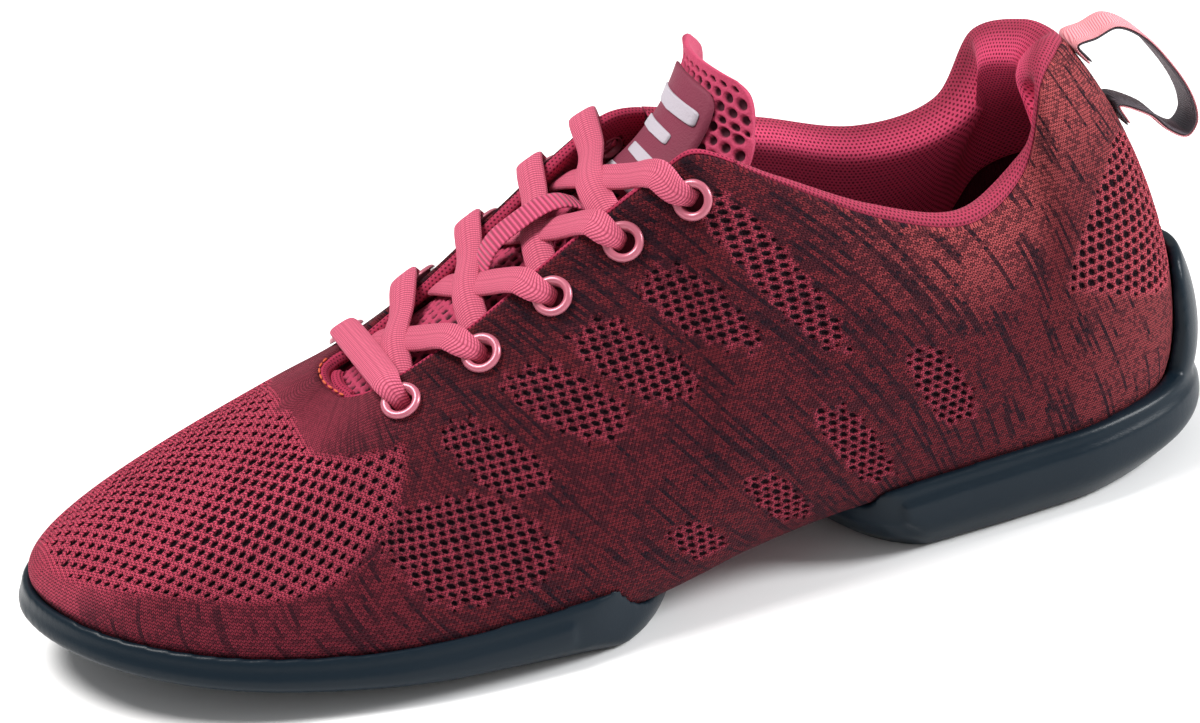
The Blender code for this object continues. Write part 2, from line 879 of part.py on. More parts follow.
def inside_throat(first, second, side, over):
    """Place on the tongue just inside the throat's edge, between two eyelets."""
    u, _ = eyelet_place(Hole((first.place + second.place) / 2, 0.0), side)
    edge = from_top(u, facing_width * 0.42, 0)
    edge.y -= side * over
    base, normal = tongue_at(edge.x, edge.y)
    return base + normal * (lace_thickness / 2 + lace_lift + over)


def make_laces(finish):
    first = over_edge(EYELETS_OUTER[0], -1, lace_clear + gap)
    last = over_edge(EYELETS_INNER[0], 1, lace_clear + gap)
    route = list(reversed(first)) + last
    path = smooth_route(route, 2)
    wide, normals = band_frames(path, [tongue_at(p.x, p.y)[1] for p in path])
    rings = flat_band(path, wide, normals, lace_width, lace_thickness)
    solid("lace_bar_1", *loft(rings, False), finish)
    for n in range(1, 5):
        over = badge_thickness + 3 * gap if n == 4 else 0.0
        low = inside_throat(EYELETS_OUTER[n - 1], EYELETS_OUTER[n], -1, over)
        high = inside_throat(EYELETS_INNER[n - 1], EYELETS_INNER[n], 1, over)
        lower = strand(f"lace_cross_{n + 1}", high, EYELETS_OUTER[n], -1, over, finish, True)
        over += lace_thickness * 0.8
        upper = strand(f"lace_over_{n + 1}", low, EYELETS_INNER[n], 1, over, finish, False)
        boolean(lower, "UNION", upper)


def make_keeper(finish):
    """Webbing stitched to the tongue at its foot, over the laces at crossing four."""
    rows = (4.42, 4.50, 4.72, 5.0, 5.24)
    lifts = (0.0, 0.24, 1.0, 1.05, 0.80)
    crown = lace_lift + 2.5 * lace_thickness + gap
    path = []
    for t, share in zip(rows, lifts):
        path.append(tongue_point(t, 0, -gap - keeper_wall / 2 - share * crown))
    path = smooth_route(path, 2)
    wide, normals = band_frames(path, [Vector((-0.6, 0, 0.8))] * len(path))
    rings = flat_band(path, wide, normals, keeper_width, keeper_wall)
    solid("lace_keeper", *loft(rings, False), finish)


def make_pull_loop(finish):
    off = -gap - loop_wall / 2
    route = [shell(0, below_top(0, distance), off) for distance in LOOP_TOP]
    route += [Vector((along(row.place), 0, row.height * collar_height)) for row in PULL_LOOP]
    route += [shell(0, below_top(0, distance), off) for distance in LOOP_FOOT]
    path = smooth_route(route, 2)
    wide = []
    normals = []
    for i, point in enumerate(path):
        direction = (path[min(i + 1, len(path) - 1)] - path[max(i - 1, 0)]).normalized()
        wide.append(Vector((0, 1, 0)))
        normals.append(Vector((-direction.z, 0, direction.x)))
    rings = flat_band(path, wide, normals, loop_width, loop_wall)
    solid("pull_loop", *loft(rings, False), finish)


for old in list(bpy.data.objects):
    bpy.data.objects.remove(old, do_unlink=True)

shoe = bpy.data.objects.new("shoe", None)
bpy.context.scene.collection.objects.link(shoe)

knit = material("knit", (0.22, 0.030, 0.050), 0.85)
pink_mesh = material("pink_mesh", (0.42, 0.045, 0.11), 0.80)
rubber = material("sole_rubber", (0.030, 0.042, 0.058), 0.55)
board = material("board", (0.20, 0.05, 0.07), 0.90)
foam = material("foam", (0.10, 0.010, 0.022), 0.90)
lace = material("lace", (0.70, 0.16, 0.24), 0.75)
ring = material("eyelet_enamel", (0.75, 0.25, 0.32), 0.35, 0.3)
patch = material("patch", (0.62, 0.60, 0.63), 0.60)
webbing = material("webbing", (0.80, 0.30, 0.34), 0.75)

upper_piece = make_upper(knit)
make_board(board)
make_insole(foam)
make_pads(rubber)
make_collar(pink_mesh)
facing_piece = make_facing(pink_mesh)
make_eyelets(upper_piece, facing_piece, ring)
make_tongue(pink_mesh)
make_badge(patch)
make_laces(lace)
make_keeper(webbing)
make_pull_loop(webbing)

bpy.context.view_layer.update()
graph = bpy.context.evaluated_depsgraph_get()
corners = []
for piece in shoe.children:
    if not piece.hide_render:
        corners += [v.co.copy() for v in piece.evaluated_get(graph).data.vertices]
low = [min(c[axis] for c in corners) for axis in range(3)]
high = [max(c[axis] for c in corners) for axis in range(3)]
shoe.location = (-(low[0] + high[0]) / 2, -(low[1] + high[1]) / 2, -low[2])
bpy.context.view_layer.update()
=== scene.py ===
import math
from collections import namedtuple

import bmesh
import bpy
import numpy as np
from mathutils import Matrix, Vector


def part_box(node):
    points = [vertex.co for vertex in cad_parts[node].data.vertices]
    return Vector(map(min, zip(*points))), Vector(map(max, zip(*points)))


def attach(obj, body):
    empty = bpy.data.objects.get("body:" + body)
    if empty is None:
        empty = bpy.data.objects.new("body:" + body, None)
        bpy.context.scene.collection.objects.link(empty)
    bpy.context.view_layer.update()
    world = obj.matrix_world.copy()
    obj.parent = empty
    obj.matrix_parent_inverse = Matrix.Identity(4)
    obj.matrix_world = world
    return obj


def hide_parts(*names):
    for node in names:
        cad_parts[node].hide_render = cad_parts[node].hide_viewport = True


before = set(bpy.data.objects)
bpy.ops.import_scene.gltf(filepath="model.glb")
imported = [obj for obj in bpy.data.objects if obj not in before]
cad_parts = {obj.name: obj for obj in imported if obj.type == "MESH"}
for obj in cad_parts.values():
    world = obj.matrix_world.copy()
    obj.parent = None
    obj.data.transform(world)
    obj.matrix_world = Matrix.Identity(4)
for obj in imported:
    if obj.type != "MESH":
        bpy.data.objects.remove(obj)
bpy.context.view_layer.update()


# Camera, floor and light: a long lens looks down on the outer side of the left shoe,
# slightly rolled, over a plain white sweep. A large soft light hangs above the toe, one
# stands behind the heel and a faint one in front; white surroundings fill the shadows.
view_turn = math.radians(-16.0)
view_rise = math.radians(25.5)
view_roll = math.radians(-6.25)
view_distance = 1.2
view_target = Vector((-0.0045, 0.0005, 0.0444))
view_lens = 172.4
view_film = 36.0

back = Vector((math.sin(view_turn) * math.cos(view_rise), -math.cos(view_turn) * math.cos(view_rise),
               math.sin(view_rise)))
level_right = (-back).cross(Vector((0, 0, 1))).normalized()
level_up = level_right.cross(-back)
across = level_right * math.cos(view_roll) + level_up * math.sin(view_roll)
upward = level_up * math.cos(view_roll) - level_right * math.sin(view_roll)
camera_data = bpy.data.cameras.new("camera")
camera_data.lens = view_lens
camera_data.sensor_width = view_film
camera = bpy.data.objects.new("camera", camera_data)
camera.matrix_world = Matrix.Translation(view_target + back * view_distance) @ Matrix(
    (across, upward, back)).transposed().to_4x4()
bpy.context.scene.collection.objects.link(camera)
bpy.context.scene.camera = camera
bpy.context.scene.view_settings.view_transform = "Standard"


Lamp = namedtuple("Lamp", "name place aim size power colour")
LAMPS = [
    Lamp("key_light", (-0.55, 0.10, 1.2), (0, 0, 0.03), 0.6, 20.5, (1.0, 0.985, 0.97)),
    Lamp("heel_light", (1.0, -0.35, 0.60), (0.10, 0, 0.04), 0.45, 16.0, (0.98, 0.99, 1.0)),
    Lamp("front_light", (0.1, -1.3, 0.5), (0, 0, 0.04), 0.7, 0.9, (1.0, 0.99, 0.98)),
]
for row in LAMPS:
    lamp = bpy.data.lights.new(row.name, "AREA")
    lamp.shape = "DISK"
    lamp.size = row.size
    lamp.energy = row.power
    lamp.color = row.colour
    light = bpy.data.objects.new(row.name, lamp)
    light.location = row.place
    light.rotation_euler = (Vector(row.place) - Vector(row.aim)).to_track_quat("Z", "Y").to_euler()
    bpy.context.scene.collection.objects.link(light)

surroundings_strength = 0.41
world = bpy.data.worlds.new("white_room")
world.use_nodes = True
surroundings = world.node_tree.nodes["Background"]
surroundings.inputs["Color"].default_value = (1.0, 1.0, 1.0, 1.0)
surroundings.inputs["Strength"].default_value = surroundings_strength
bpy.context.scene.world = world

floor_reach = 4.0
floor_drop = 0.0001
floor_mesh = bpy.data.meshes.new("floor")
floor_mesh.from_pydata([(-floor_reach, -floor_reach, 0), (floor_reach, -floor_reach, 0),
                        (floor_reach, floor_reach, 0), (-floor_reach, floor_reach, 0)], [], [(0, 1, 2, 3)])
floor_object = bpy.data.objects.new("floor", floor_mesh)
floor_object.location.z = -floor_drop
bpy.context.scene.collection.objects.link(floor_object)
floor_paint = bpy.data.materials.new("floor_paint")
floor_paint.use_nodes = True
floor_shader = floor_paint.node_tree.nodes["Principled BSDF"]
floor_shader.inputs["Base Color"].default_value = (0.93, 0.93, 0.93, 1.0)
floor_shader.inputs["Roughness"].default_value = 0.9
floor_shader.inputs["Specular IOR Level"].default_value = 0.1
floor_mesh.materials.append(floor_paint)


# Knitted upper: one tube of marled crimson and navy yarn, pulled over the last, turned
# under the foot and lasted to the board. Its toe, heel and side vents are knitted open.
# The cuts are those of the last: rows go from the heel along the outer side to the toe.
shoe_length = 0.261
ball_width = 0.089
collar_height = 0.094
seat_height = 0.013
knit_wall = 0.0018
turn_under = 0.005
half_ball = ball_width / 2

Cut = namedtuple("Cut", "name aim foot_x foot_y top_x top_y top_z foot_out foot_up head_out head_up")
UPPER = [
    Cut("heel",          0, .958,  .00, .904,  .00, .990, .100, .080, .220, -.330),
    Cut("heel_outer",  -48, .934, -.32, .887, -.20, 1.00, .096, .080, .212, -.330),
    Cut("counter_out", -76, .870, -.54, .859, -.36, .955, .085, .080, .170, -.290),
    Cut("ankle_outer", -86, .801, -.61, .833, -.46, .785, .085, .085, .110, -.190),
    Cut("dip_outer",   -89, .740, -.64, .774, -.62, .728, .090, .085, .065, -.150),
    Cut("quarter_out", -90, .670, -.67, .697, -.67, .802, .105, .095, .085, -.180),
    Cut("shoulder_out",-91, .605, -.70, .621, -.64, .928, .125, .105, .125, -.235),
    Cut("corner_outer",-92, .552, -.74, .561, -.55, 1.02, .140, .110, .175, -.270),
    Cut("stay_outer",  -92, .510, -.79, .524, -.46, .965, .140, .105, .185, -.230),
    Cut("instep_outer",-93, .433, -.86, .450, -.43, .850, .125, .095, .215, -.165),
    Cut("ball_outer",  -97, .349, -.89, .368, -.39, .708, .118, .085, .225, -.120),
    Cut("vamp_outer", -108, .249, -.84, .299, -.34, .616, .130, .090, .255, -.090),
    Cut("toe_outer",  -130, .134, -.63, .270, -.23, .580, .158, .115, .268, -.105),
    Cut("tip_outer",  -156, .060, -.27, .261, -.09, .574, .185, .130, .325, -.150),
    Cut("toe",        -180, .032,  .20, .257,  .02, .580, .205, .160, .370, -.185),
    Cut("tip_inner",  -206, .057,  .55, .261,  .13, .588, .190, .130, .320, -.160),
    Cut("toe_inner",  -234, .126,  .76, .276,  .22, .592, .155, .105, .275, -.125),
    Cut("vamp_inner", -258, .234,  .86, .303,  .26, .612, .135, .090, .250, -.100),
    Cut("ball_inner", -270, .326,  .84, .368,  .32, .700, .125, .095, .225, -.125),
    Cut("instep_inn", -276, .418,  .69, .443,  .38, .822, .145, .135, .200, -.160),
    Cut("stay_inner", -276, .502,  .58, .500,  .44, .910, .165, .155, .165, -.210),
    Cut("corner_inn", -274, .552,  .54, .546,  .52, .948, .160, .155, .150, -.230),
    Cut("shoulder_in",-272, .605,  .52, .606,  .62, .892, .150, .150, .110, -.215),
    Cut("quarter_inn",-270, .670,  .53, .682,  .67, .800, .130, .135, .075, -.180),
    Cut("dip_inner",  -270, .740,  .56, .757,  .65, .735, .110, .115, .060, -.150),
    Cut("ankle_inner",-274, .801,  .575, .820,  .54, .785, .100, .095, .095, -.185),
    Cut("counter_inn",-284, .870,  .52, .850,  .41, .955, .090, .085, .150, -.290),
    Cut("heel_inner", -312, .934,  .32, .887,  .20, 1.00, .096, .080, .212, -.330),
]
toe_row = len(UPPER) // 2

Level = namedtuple("Level", "place seat tread lip")
LEVELS = [
    Level(.00, 1.13, .83, 1.54),
    Level(.03, 1.08, .72, 1.49),
    Level(.08, .90,  .53, 1.33),
    Level(.16, .66,  .29, 1.11),
    Level(.24, .52,  .11, 1.00),
    Level(.31, .45,  .00, 1.00),
    Level(.40, .47,  .00, 1.07),
    Level(.47, .55,  .00, 1.16),
    Level(.56, .80,  .00, 1.18),
    Level(.64, .96,  .00, 1.18),
    Level(.72, 1.00, .00, 1.27),
    Level(.85, 1.00, .00, 1.33),
    Level(1.00, .96, .00, 1.36),
]


def column(table, name):
    return np.array([getattr(row, name) for row in table], dtype=float)


def curve_through(knots, values, at):
    """Smooth values at places along knots that rise."""
    knots = np.asarray(knots, dtype=float)
    values = np.asarray(values, dtype=float)
    at = np.clip(at, knots[0], knots[-1])
    i = np.clip(np.searchsorted(knots, at, side="left") - 1, 0, len(knots) - 2)
    low = np.maximum(np.arange(len(knots)) - 1, 0)
    high = np.minimum(np.arange(len(knots)) + 1, len(knots) - 1)
    slopes = (values[high] - values[low]) / (knots[high] - knots[low])
    span = knots[i + 1] - knots[i]
    t = (at - knots[i]) / span
    return ((2 * t**3 - 3 * t**2 + 1) * values[i] + (t**3 - 2 * t**2 + t) * span * slopes[i]
            + (3 * t**2 - 2 * t**3) * values[i + 1] + (t**3 - t**2) * span * slopes[i + 1])


def through(table, name, at):
    """Smooth values of one column of a table whose first column holds the knots."""
    return curve_through([row[0] for row in table], column(table, name), at)


def level(name, x):
    return seat_height * np.maximum(0.0, through(LEVELS, name, x / shoe_length + 0.5))


def around(values, u):
    """Smooth values between the rows of the closed table of cuts."""
    i = np.floor(u).astype(int)
    t = u - i
    a, b, c, d = (values[(i + k) % len(values)] for k in (-1, 0, 1, 2))
    return 0.5 * (2 * b + (c - a) * t + (2 * a - 5 * b + 4 * c - d) * t**2 + (3 * b - a - 3 * c + d) * t**3)


def cut(name, u):
    return around(column(UPPER, name), np.asarray(u, dtype=float))


def points_of(x, y, z):
    x, y, z = np.broadcast_arrays(x, y, z)
    return np.stack([x, y, z], axis=-1).astype(float)


def unit(vectors):
    return vectors / np.maximum(np.linalg.norm(vectors, axis=-1, keepdims=True), 1e-12)


def outward(u):
    aims = np.radians(column(UPPER, "aim"))
    x = around(np.cos(aims), np.asarray(u, dtype=float))
    y = around(np.sin(aims), np.asarray(u, dtype=float))
    return unit(points_of(x, y, 0.0))


def foot_point(u, inset=0.0, rise=0.0):
    """Edge where the upper turns under the foot."""
    x = (cut("foot_x", u) - 0.5) * shoe_length
    edge = points_of(x, cut("foot_y", u) * half_ball, 0.0) - outward(u) * inset
    edge[..., 2] = level("seat", edge[..., 0]) + rise
    return edge


def skin(u, v):
    """Outer face of the knit: u runs round the shoe in rows, v from foot to top line."""
    u, v = np.broadcast_arrays(np.asarray(u, dtype=float), np.asarray(v, dtype=float))
    foot = foot_point(u)
    top = points_of((cut("top_x", u) - 0.5) * shoe_length, cut("top_y", u) * half_ball,
                    cut("top_z", u) * collar_height)
    out = outward(u) * collar_height
    up = points_of(0.0, 0.0, collar_height)
    lower = foot + out * cut("foot_out", u)[..., None] + up * cut("foot_up", u)[..., None]
    upper = top + out * cut("head_out", u)[..., None] + up * cut("head_up", u)[..., None]
    v = v[..., None]
    w = 1 - v
    return foot * w**3 + lower * (3 * v * w**2) + upper * (3 * v**2 * w) + top * v**3


def skin_normal(u, v):
    """Outward direction of the wall, from steps to both sides of the place."""
    up = 0.002
    along = 0.02
    v = np.clip(v, up, 1 - up)
    return unit(np.cross(skin(u, v + up) - skin(u, v - up), skin(u + along, v) - skin(u - along, v)))


def shell(u, v, depth):
    return skin(u, v) - skin_normal(u, v) * np.asarray(depth)[..., None]


def below_top(u, distance):
    """The v that lies a distance down the wall from the top line."""
    u, distance = np.broadcast_arrays(np.asarray(u, dtype=float), np.asarray(distance, dtype=float))
    steps = np.linspace(1.0, 0.0, 81)
    rows, owner = np.unique(u, return_inverse=True)
    wall = skin(rows[:, None], steps)
    walked = np.cumsum(np.linalg.norm(np.diff(wall, axis=1), axis=-1), axis=1)
    owner = owner.ravel()
    found = np.empty(u.size)
    for k in range(len(rows)):
        mine = owner == k
        found[mine] = np.interp(distance.ravel()[mine], np.concatenate([[0.0], walked[k]]), steps)
    return found.reshape(u.shape)


def from_top(u, rise, depth):
    """Point by its rise above the top line, negative below it, and its depth inside."""
    u, rise, depth = np.broadcast_arrays(*(np.asarray(a, dtype=float) for a in (u, rise, depth)))
    under = shell(u, below_top(u, np.maximum(-rise, 0.0)), depth)
    climb = unit(skin(u, 1.0) - skin(u, 0.98)) * np.maximum(rise, 0.0)[..., None]
    return under + climb


sampled = skin(np.arange(2 * len(UPPER))[:, None] / 2, np.arange(10) / 9)
cad_low, cad_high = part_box("upper")
stand = np.array([cad_low[0], cad_low[1], cad_high[2]]) - np.array(
    [sampled[..., 0].min(), sampled[..., 1].min(), sampled[..., 2].max()])


def walked_along(path):
    """Distance walked along a path at each of its points."""
    return np.concatenate([[0.0], np.cumsum(np.linalg.norm(np.diff(path, axis=0), axis=-1))])


def grid_faces(rows, columns, start=0, wrap=False):
    """Quads between points laid out row by row."""
    r, c = np.meshgrid(np.arange(rows - 1), np.arange(columns if wrap else columns - 1), indexing="ij")
    n = (c + 1) % columns
    low = r * columns
    high = low + columns
    return np.stack([low + c, low + n, high + n, high + c], axis=-1).reshape(-1, 4) + start


def add_piece(name, points, faces, finish):
    """One mesh of the shoe in the frame's place, smooth, riding on the shoe's body."""
    mesh = bpy.data.meshes.new(name)
    mesh.from_pydata((np.asarray(points).reshape(-1, 3) + stand).tolist(), [], [tuple(f) for f in faces])
    mesh.validate()
    mesh.shade_smooth()
    mesh.materials.append(finish)
    piece = bpy.data.objects.new(name, mesh)
    bpy.context.scene.collection.objects.link(piece)
    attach(piece, "root")
    return piece


def keep(piece, name, values):
    """Stores one number a point, which the piece's finish reads."""
    layer = piece.data.attributes.new(name, "FLOAT", "POINT")
    layer.data.foreach_set("value", np.ascontiguousarray(values, dtype=np.float32).ravel())


def lay_out(piece, name, a, b):
    """Stores a flat layout of the piece in millimetres."""
    layer = piece.data.uv_layers.new(name=name)
    corner = np.zeros(len(piece.data.loops), dtype=np.int32)
    piece.data.loops.foreach_get("vertex_index", corner)
    flat = np.stack([np.ravel(a)[corner], np.ravel(b)[corner]], axis=-1)
    layer.data.foreach_set("uv", flat.astype(np.float32).ravel())


def calc(tree, kind, *inputs):
    node = tree.nodes.new("ShaderNodeMath")
    node.operation = kind
    for socket, value in zip(node.inputs, inputs):
        if isinstance(value, (int, float)):
            socket.default_value = value
        else:
            tree.links.new(value, socket)
    return node.outputs[0]


def times(tree, a, b):
    return calc(tree, "MULTIPLY", a, b)


def divided(tree, a, b):
    return calc(tree, "DIVIDE", a, b)


def plus(tree, a, b):
    return calc(tree, "ADD", a, b)


def minus(tree, a, b):
    return calc(tree, "SUBTRACT", a, b)


def ridge(tree, value):
    """Distance from the middle of each whole step: 0.5 at its ends, 0 at its middle."""
    return calc(tree, "ABSOLUTE", minus(tree, calc(tree, "FRACT", value), 0.5))


def ramp(tree, value, low, high, bottom=0.0, top=1.0):
    """Smooth step of a value between two limits."""
    node = tree.nodes.new("ShaderNodeMapRange")
    node.interpolation_type = "SMOOTHSTEP"
    tree.links.new(value, node.inputs["Value"])
    for socket, number in zip(("From Min", "From Max", "To Min", "To Max"), (low, high, bottom, top)):
        node.inputs[socket].default_value = number
    return node.outputs["Result"]


def tint(tree, share, first, second, kind="MIX"):
    """Mix of two colours, each a colour or a socket."""
    node = tree.nodes.new("ShaderNodeMix")
    node.data_type = "RGBA"
    node.blend_type = kind
    for socket, value in ((node.inputs[0], share), (node.inputs[6], first), (node.inputs[7], second)):
        if isinstance(value, float):
            socket.default_value = value
        elif isinstance(value, tuple):
            socket.default_value = (*value, 1.0)
        else:
            tree.links.new(value, socket)
    return node.outputs[2]


def flat_place(tree, name):
    """The two numbers of a flat layout."""
    layout = tree.nodes.new("ShaderNodeUVMap")
    layout.uv_map = name
    parts = tree.nodes.new("ShaderNodeSeparateXYZ")
    tree.links.new(layout.outputs[0], parts.inputs[0])
    return parts.outputs[0], parts.outputs[1]


def joined(tree, x, y, z=0.0):
    node = tree.nodes.new("ShaderNodeCombineXYZ")
    for socket, value in zip(node.inputs, (x, y, z)):
        if isinstance(value, (int, float)):
            socket.default_value = value
        else:
            tree.links.new(value, socket)
    return node.outputs[0]


def grain(tree, place, scale, detail=2.0, roughness=0.5):
    node = tree.nodes.new("ShaderNodeTexNoise")
    node.inputs["Scale"].default_value = scale
    node.inputs["Detail"].default_value = detail
    node.inputs["Roughness"].default_value = roughness
    tree.links.new(place, node.inputs["Vector"])
    return node.outputs["Fac"]


def stored(tree, name):
    node = tree.nodes.new("ShaderNodeAttribute")
    node.attribute_name = name
    return node.outputs["Fac"]


def finish_named(name, roughness, sheen=0.0, coat=0.0, specular=0.4):
    """A new material with its even values set on the shader itself."""
    made = bpy.data.materials.new(name)
    made.use_nodes = True
    shader = made.node_tree.nodes["Principled BSDF"]
    shader.inputs["Roughness"].default_value = roughness
    shader.inputs["Sheen Weight"].default_value = sheen
    shader.inputs["Sheen Roughness"].default_value = 0.45
    shader.inputs["Sheen Tint"].default_value = (1.0, 0.55, 0.65, 1.0)
    shader.inputs["Coat Weight"].default_value = coat
    shader.inputs["Coat Roughness"].default_value = 0.25
    shader.inputs["Specular IOR Level"].default_value = specular
    return made, made.node_tree, shader


def coloured(tree, shader, share, dark, light):
    """Gives the finish a colour between two, by a share."""
    tree.links.new(tint(tree, share, dark, light), shader.inputs["Base Color"])


def relief(tree, shader, height, depth, strength=1.0):
    """Bump of a given depth in metres."""
    bump = tree.nodes.new("ShaderNodeBump")
    bump.inputs["Strength"].default_value = strength
    bump.inputs["Distance"].default_value = depth
    tree.links.new(height, bump.inputs["Height"])
    tree.links.new(bump.outputs[0], shader.inputs["Normal"])


# Knitted holes: where a hole's edge starts and ends, how uneven the holes are, the two
# factors that scatter their sizes from cell to cell, and the share that counts as none.
hole_edge = (1.15, 0.75)
hole_uneven = (0.90, 0.12)
hole_scatter = (12.99, 78.23)
least_share = 0.02


def net_holes(tree, a, b, pitch_a, pitch_b, size_a, size_b, share):
    """Staggered knitted holes: 1 in a hole, 0 on the yarn. Share shrinks them to nothing."""
    row = calc(tree, "FLOOR", divided(tree, b, pitch_b))
    shifted = plus(tree, divided(tree, a, pitch_a), times(tree, calc(tree, "PINGPONG", row, 1.0), 0.5))
    across_cell = minus(tree, calc(tree, "FRACT", shifted), 0.5)
    along_cell = minus(tree, calc(tree, "FRACT", divided(tree, b, pitch_b)), 0.5)
    p = divided(tree, times(tree, across_cell, pitch_a), size_a / 2)
    q = divided(tree, times(tree, along_cell, pitch_b), size_b / 2)
    far = calc(tree, "SQRT", plus(tree, times(tree, p, p), times(tree, q, q)))
    mark = plus(tree, times(tree, calc(tree, "FLOOR", shifted), hole_scatter[0]),
                times(tree, row, hole_scatter[1]))
    uneven = plus(tree, hole_uneven[0], times(tree, calc(tree, "SINE", mark), hole_uneven[1]))
    grown = divided(tree, far, times(tree, calc(tree, "MAXIMUM", share, least_share), uneven))
    return ramp(tree, grown, *hole_edge)


def net_depth(a, b, pitch_a, pitch_b, size_a, size_b, share):
    """The same holes as numbers, for the mesh itself."""
    row = np.floor(b / pitch_b)
    shifted = a / pitch_a + np.mod(row, 2) * 0.5
    across_cell = shifted % 1.0 - 0.5
    along_cell = (b / pitch_b) % 1.0 - 0.5
    far = np.hypot(across_cell * pitch_a / (size_a / 2), along_cell * pitch_b / (size_b / 2))
    mark = np.floor(shifted) * hole_scatter[0] + row * hole_scatter[1]
    uneven = hole_uneven[0] + hole_uneven[1] * np.sin(mark)
    grown = far / (np.maximum(share, least_share) * uneven)
    return np.clip((hole_edge[0] - grown) / (hole_edge[0] - hole_edge[1]), 0.0, 1.0)


# Vents of the side, charted on the wall: arc from the heel in millimetres, share of the
# wall's height, half length along the wale and half width across it in millimetres.
Vent = namedtuple("Vent", "arc height long wide")
VENTS = [
    Vent(189.0, .375, 12.5, 16.0),
    Vent(181.0, .605, 10.5, 6.5),
    Vent(163.7, .645, 12.0, 6.5),
    Vent(148.9, .650, 13.0, 6.5),
    Vent(133.7, .690, 12.0, 6.5),
    Vent(117.5, .770, 14.5, 7.0),
    Vent(82.3, .440, 9.5, 5.5),
    Vent(101.3, .276, 10.5, 5.5),
    Vent(118.9, .160, 8.0, 5.0),
    Vent(138.3, .140, 6.0, 4.5),
]
vent_pitch = (2.35, 1.85)
vent_size = (1.84, 1.46)
toe_pitch = (2.85, 1.85)
toe_size = (2.10, 1.42)
heel_pitch = (2.9, 2.3)
heel_size = (2.36, 1.95)
vent_depth = 0.0008
stitch_pitch = (0.88, 0.74)

columns_round = 1240
rows_up = 130
hem_height = 0.3
dense = np.linspace(0.0, len(UPPER), 40 * len(UPPER) + 1)
walked = walked_along(skin(dense, hem_height))
round_u = np.interp(np.linspace(0.0, walked[-1], columns_round + 1), walked, dense)
round_s = np.linspace(0.0, walked[-1], columns_round + 1) * 1000
round_s = np.minimum(round_s, round_s[-1] - round_s)

wall_v = np.linspace(0.0, 1.0, rows_up + 1)
wall = skin(round_u[None, :], wall_v[:, None])
wall_normal = skin_normal(np.broadcast_to(round_u[None, :], wall.shape[:2]),
                          np.broadcast_to(wall_v[:, None], wall.shape[:2]))
wall_t = np.concatenate([np.zeros((1, wall.shape[1])),
                         np.cumsum(np.linalg.norm(np.diff(wall, axis=0), axis=-1), axis=0)]) * 1000
wall_height = wall_t[-1][None, :]
place_x = wall[..., 0] / shoe_length + 0.5

# The wales lean back towards the heel on their way down, less so near the heel.
LEAN_AT = (0.0, 40.0, 85.0, 125.0, 165.0, 205.0, 290.0)
LEAN = (0.12, 0.38, 0.62, 0.76, 0.80, 0.70, 0.45)
lean = np.interp(round_s, LEAN_AT, LEAN)[None, :]
lean_middle = 30.0
wale_a = round_s[None, :] - lean * (wall_t - lean_middle)
wale_b = wall_t

# On the toe the courses run along the shoe: the layout there is the place along the
# shoe and the girth from the crown.
crown_cuts = 132
girth_lift = 0.006
least_girth = 0.004
crown_x = np.linspace(wall[..., 0].min(), wall[..., 0].max(), crown_cuts)
slot_of = np.clip(np.searchsorted(crown_x, wall[..., 0]) - 1, 0, len(crown_x) - 2)
low_y = np.array([wall[..., 1][slot_of == k].min() for k in range(len(crown_x) - 1)])
high_y = np.array([wall[..., 1][slot_of == k].max() for k in range(len(crown_x) - 1)])
high_z = np.array([wall[..., 2][slot_of == k].max() for k in range(len(crown_x) - 1)])
mid_x = (crown_x[1:] + crown_x[:-1]) / 2
girth_mid = np.interp(wall[..., 0], mid_x, (low_y + high_y) / 2)
girth_half = np.interp(wall[..., 0], mid_x, (high_y - low_y) / 2)
girth_foot = level("seat", wall[..., 0]) + girth_lift
girth_rise = np.interp(wall[..., 0], mid_x, high_z) - girth_foot
turn = np.arctan2((wall[..., 2] - girth_foot) / np.maximum(girth_rise, least_girth),
                  (wall[..., 1] - girth_mid) / np.maximum(girth_half, least_girth))
quarter = math.pi / 2 * np.sqrt((girth_half**2 + girth_rise**2) / 2) * 1000
toe_a = wall[..., 0] * 1000
toe_b = quarter * (1 - turn / (math.pi / 2))


def soft_step(value, low, high):
    t = np.clip((value - low) / (high - low), 0.0, 1.0)
    return t * t * (3 - 2 * t)


def oval(long_way, cross_way, power):
    """Squared oval: 1 on its edge, less inside."""
    return (np.abs(long_way)**power + np.abs(cross_way)**power) ** (1 / power)


# The toe's open zone is two ovals that lean out from the crown, graded to smaller holes
# near their edges and cut off below the throat.
toe_tilt = math.radians(37.5)
toe_middle = (42.0, 15.0)
toe_half = (38.0, 20.5)
toe_hem = (9.0, 12.0)
TOE_TOP_AT = (207.0, 240.0, 268.0, 285.0)
TOE_TOP = (16.4, 15.6, 10.5, 9.0)
toe_share = np.zeros_like(wall_t)
for mirror in (1.0, -1.0):
    ahead = toe_a + 500 * shoe_length - toe_middle[0]
    beside = toe_b * mirror + toe_middle[1]
    long_way = (ahead * math.cos(toe_tilt) - beside * math.sin(toe_tilt)) / toe_half[0]
    cross_way = (ahead * math.sin(toe_tilt) + beside * math.cos(toe_tilt)) / toe_half[1]
    toe_reach = oval(long_way, cross_way, 2.6)
    toe_share = np.maximum(toe_share, soft_step(toe_reach, 1.05, 0.93))
    toe_grade = 0.78 + 0.22 * soft_step(toe_reach, 0.95, 0.40)
    toe_share = np.where(toe_reach < 1.05, np.minimum(toe_share, toe_grade), toe_share)
toe_share *= soft_step(wall_t, *toe_hem)
toe_top = np.interp(round_s, TOE_TOP_AT, TOE_TOP)[None, :]
toe_share *= soft_step(wall_height - wall_t - toe_top, -1.6, 0.8)

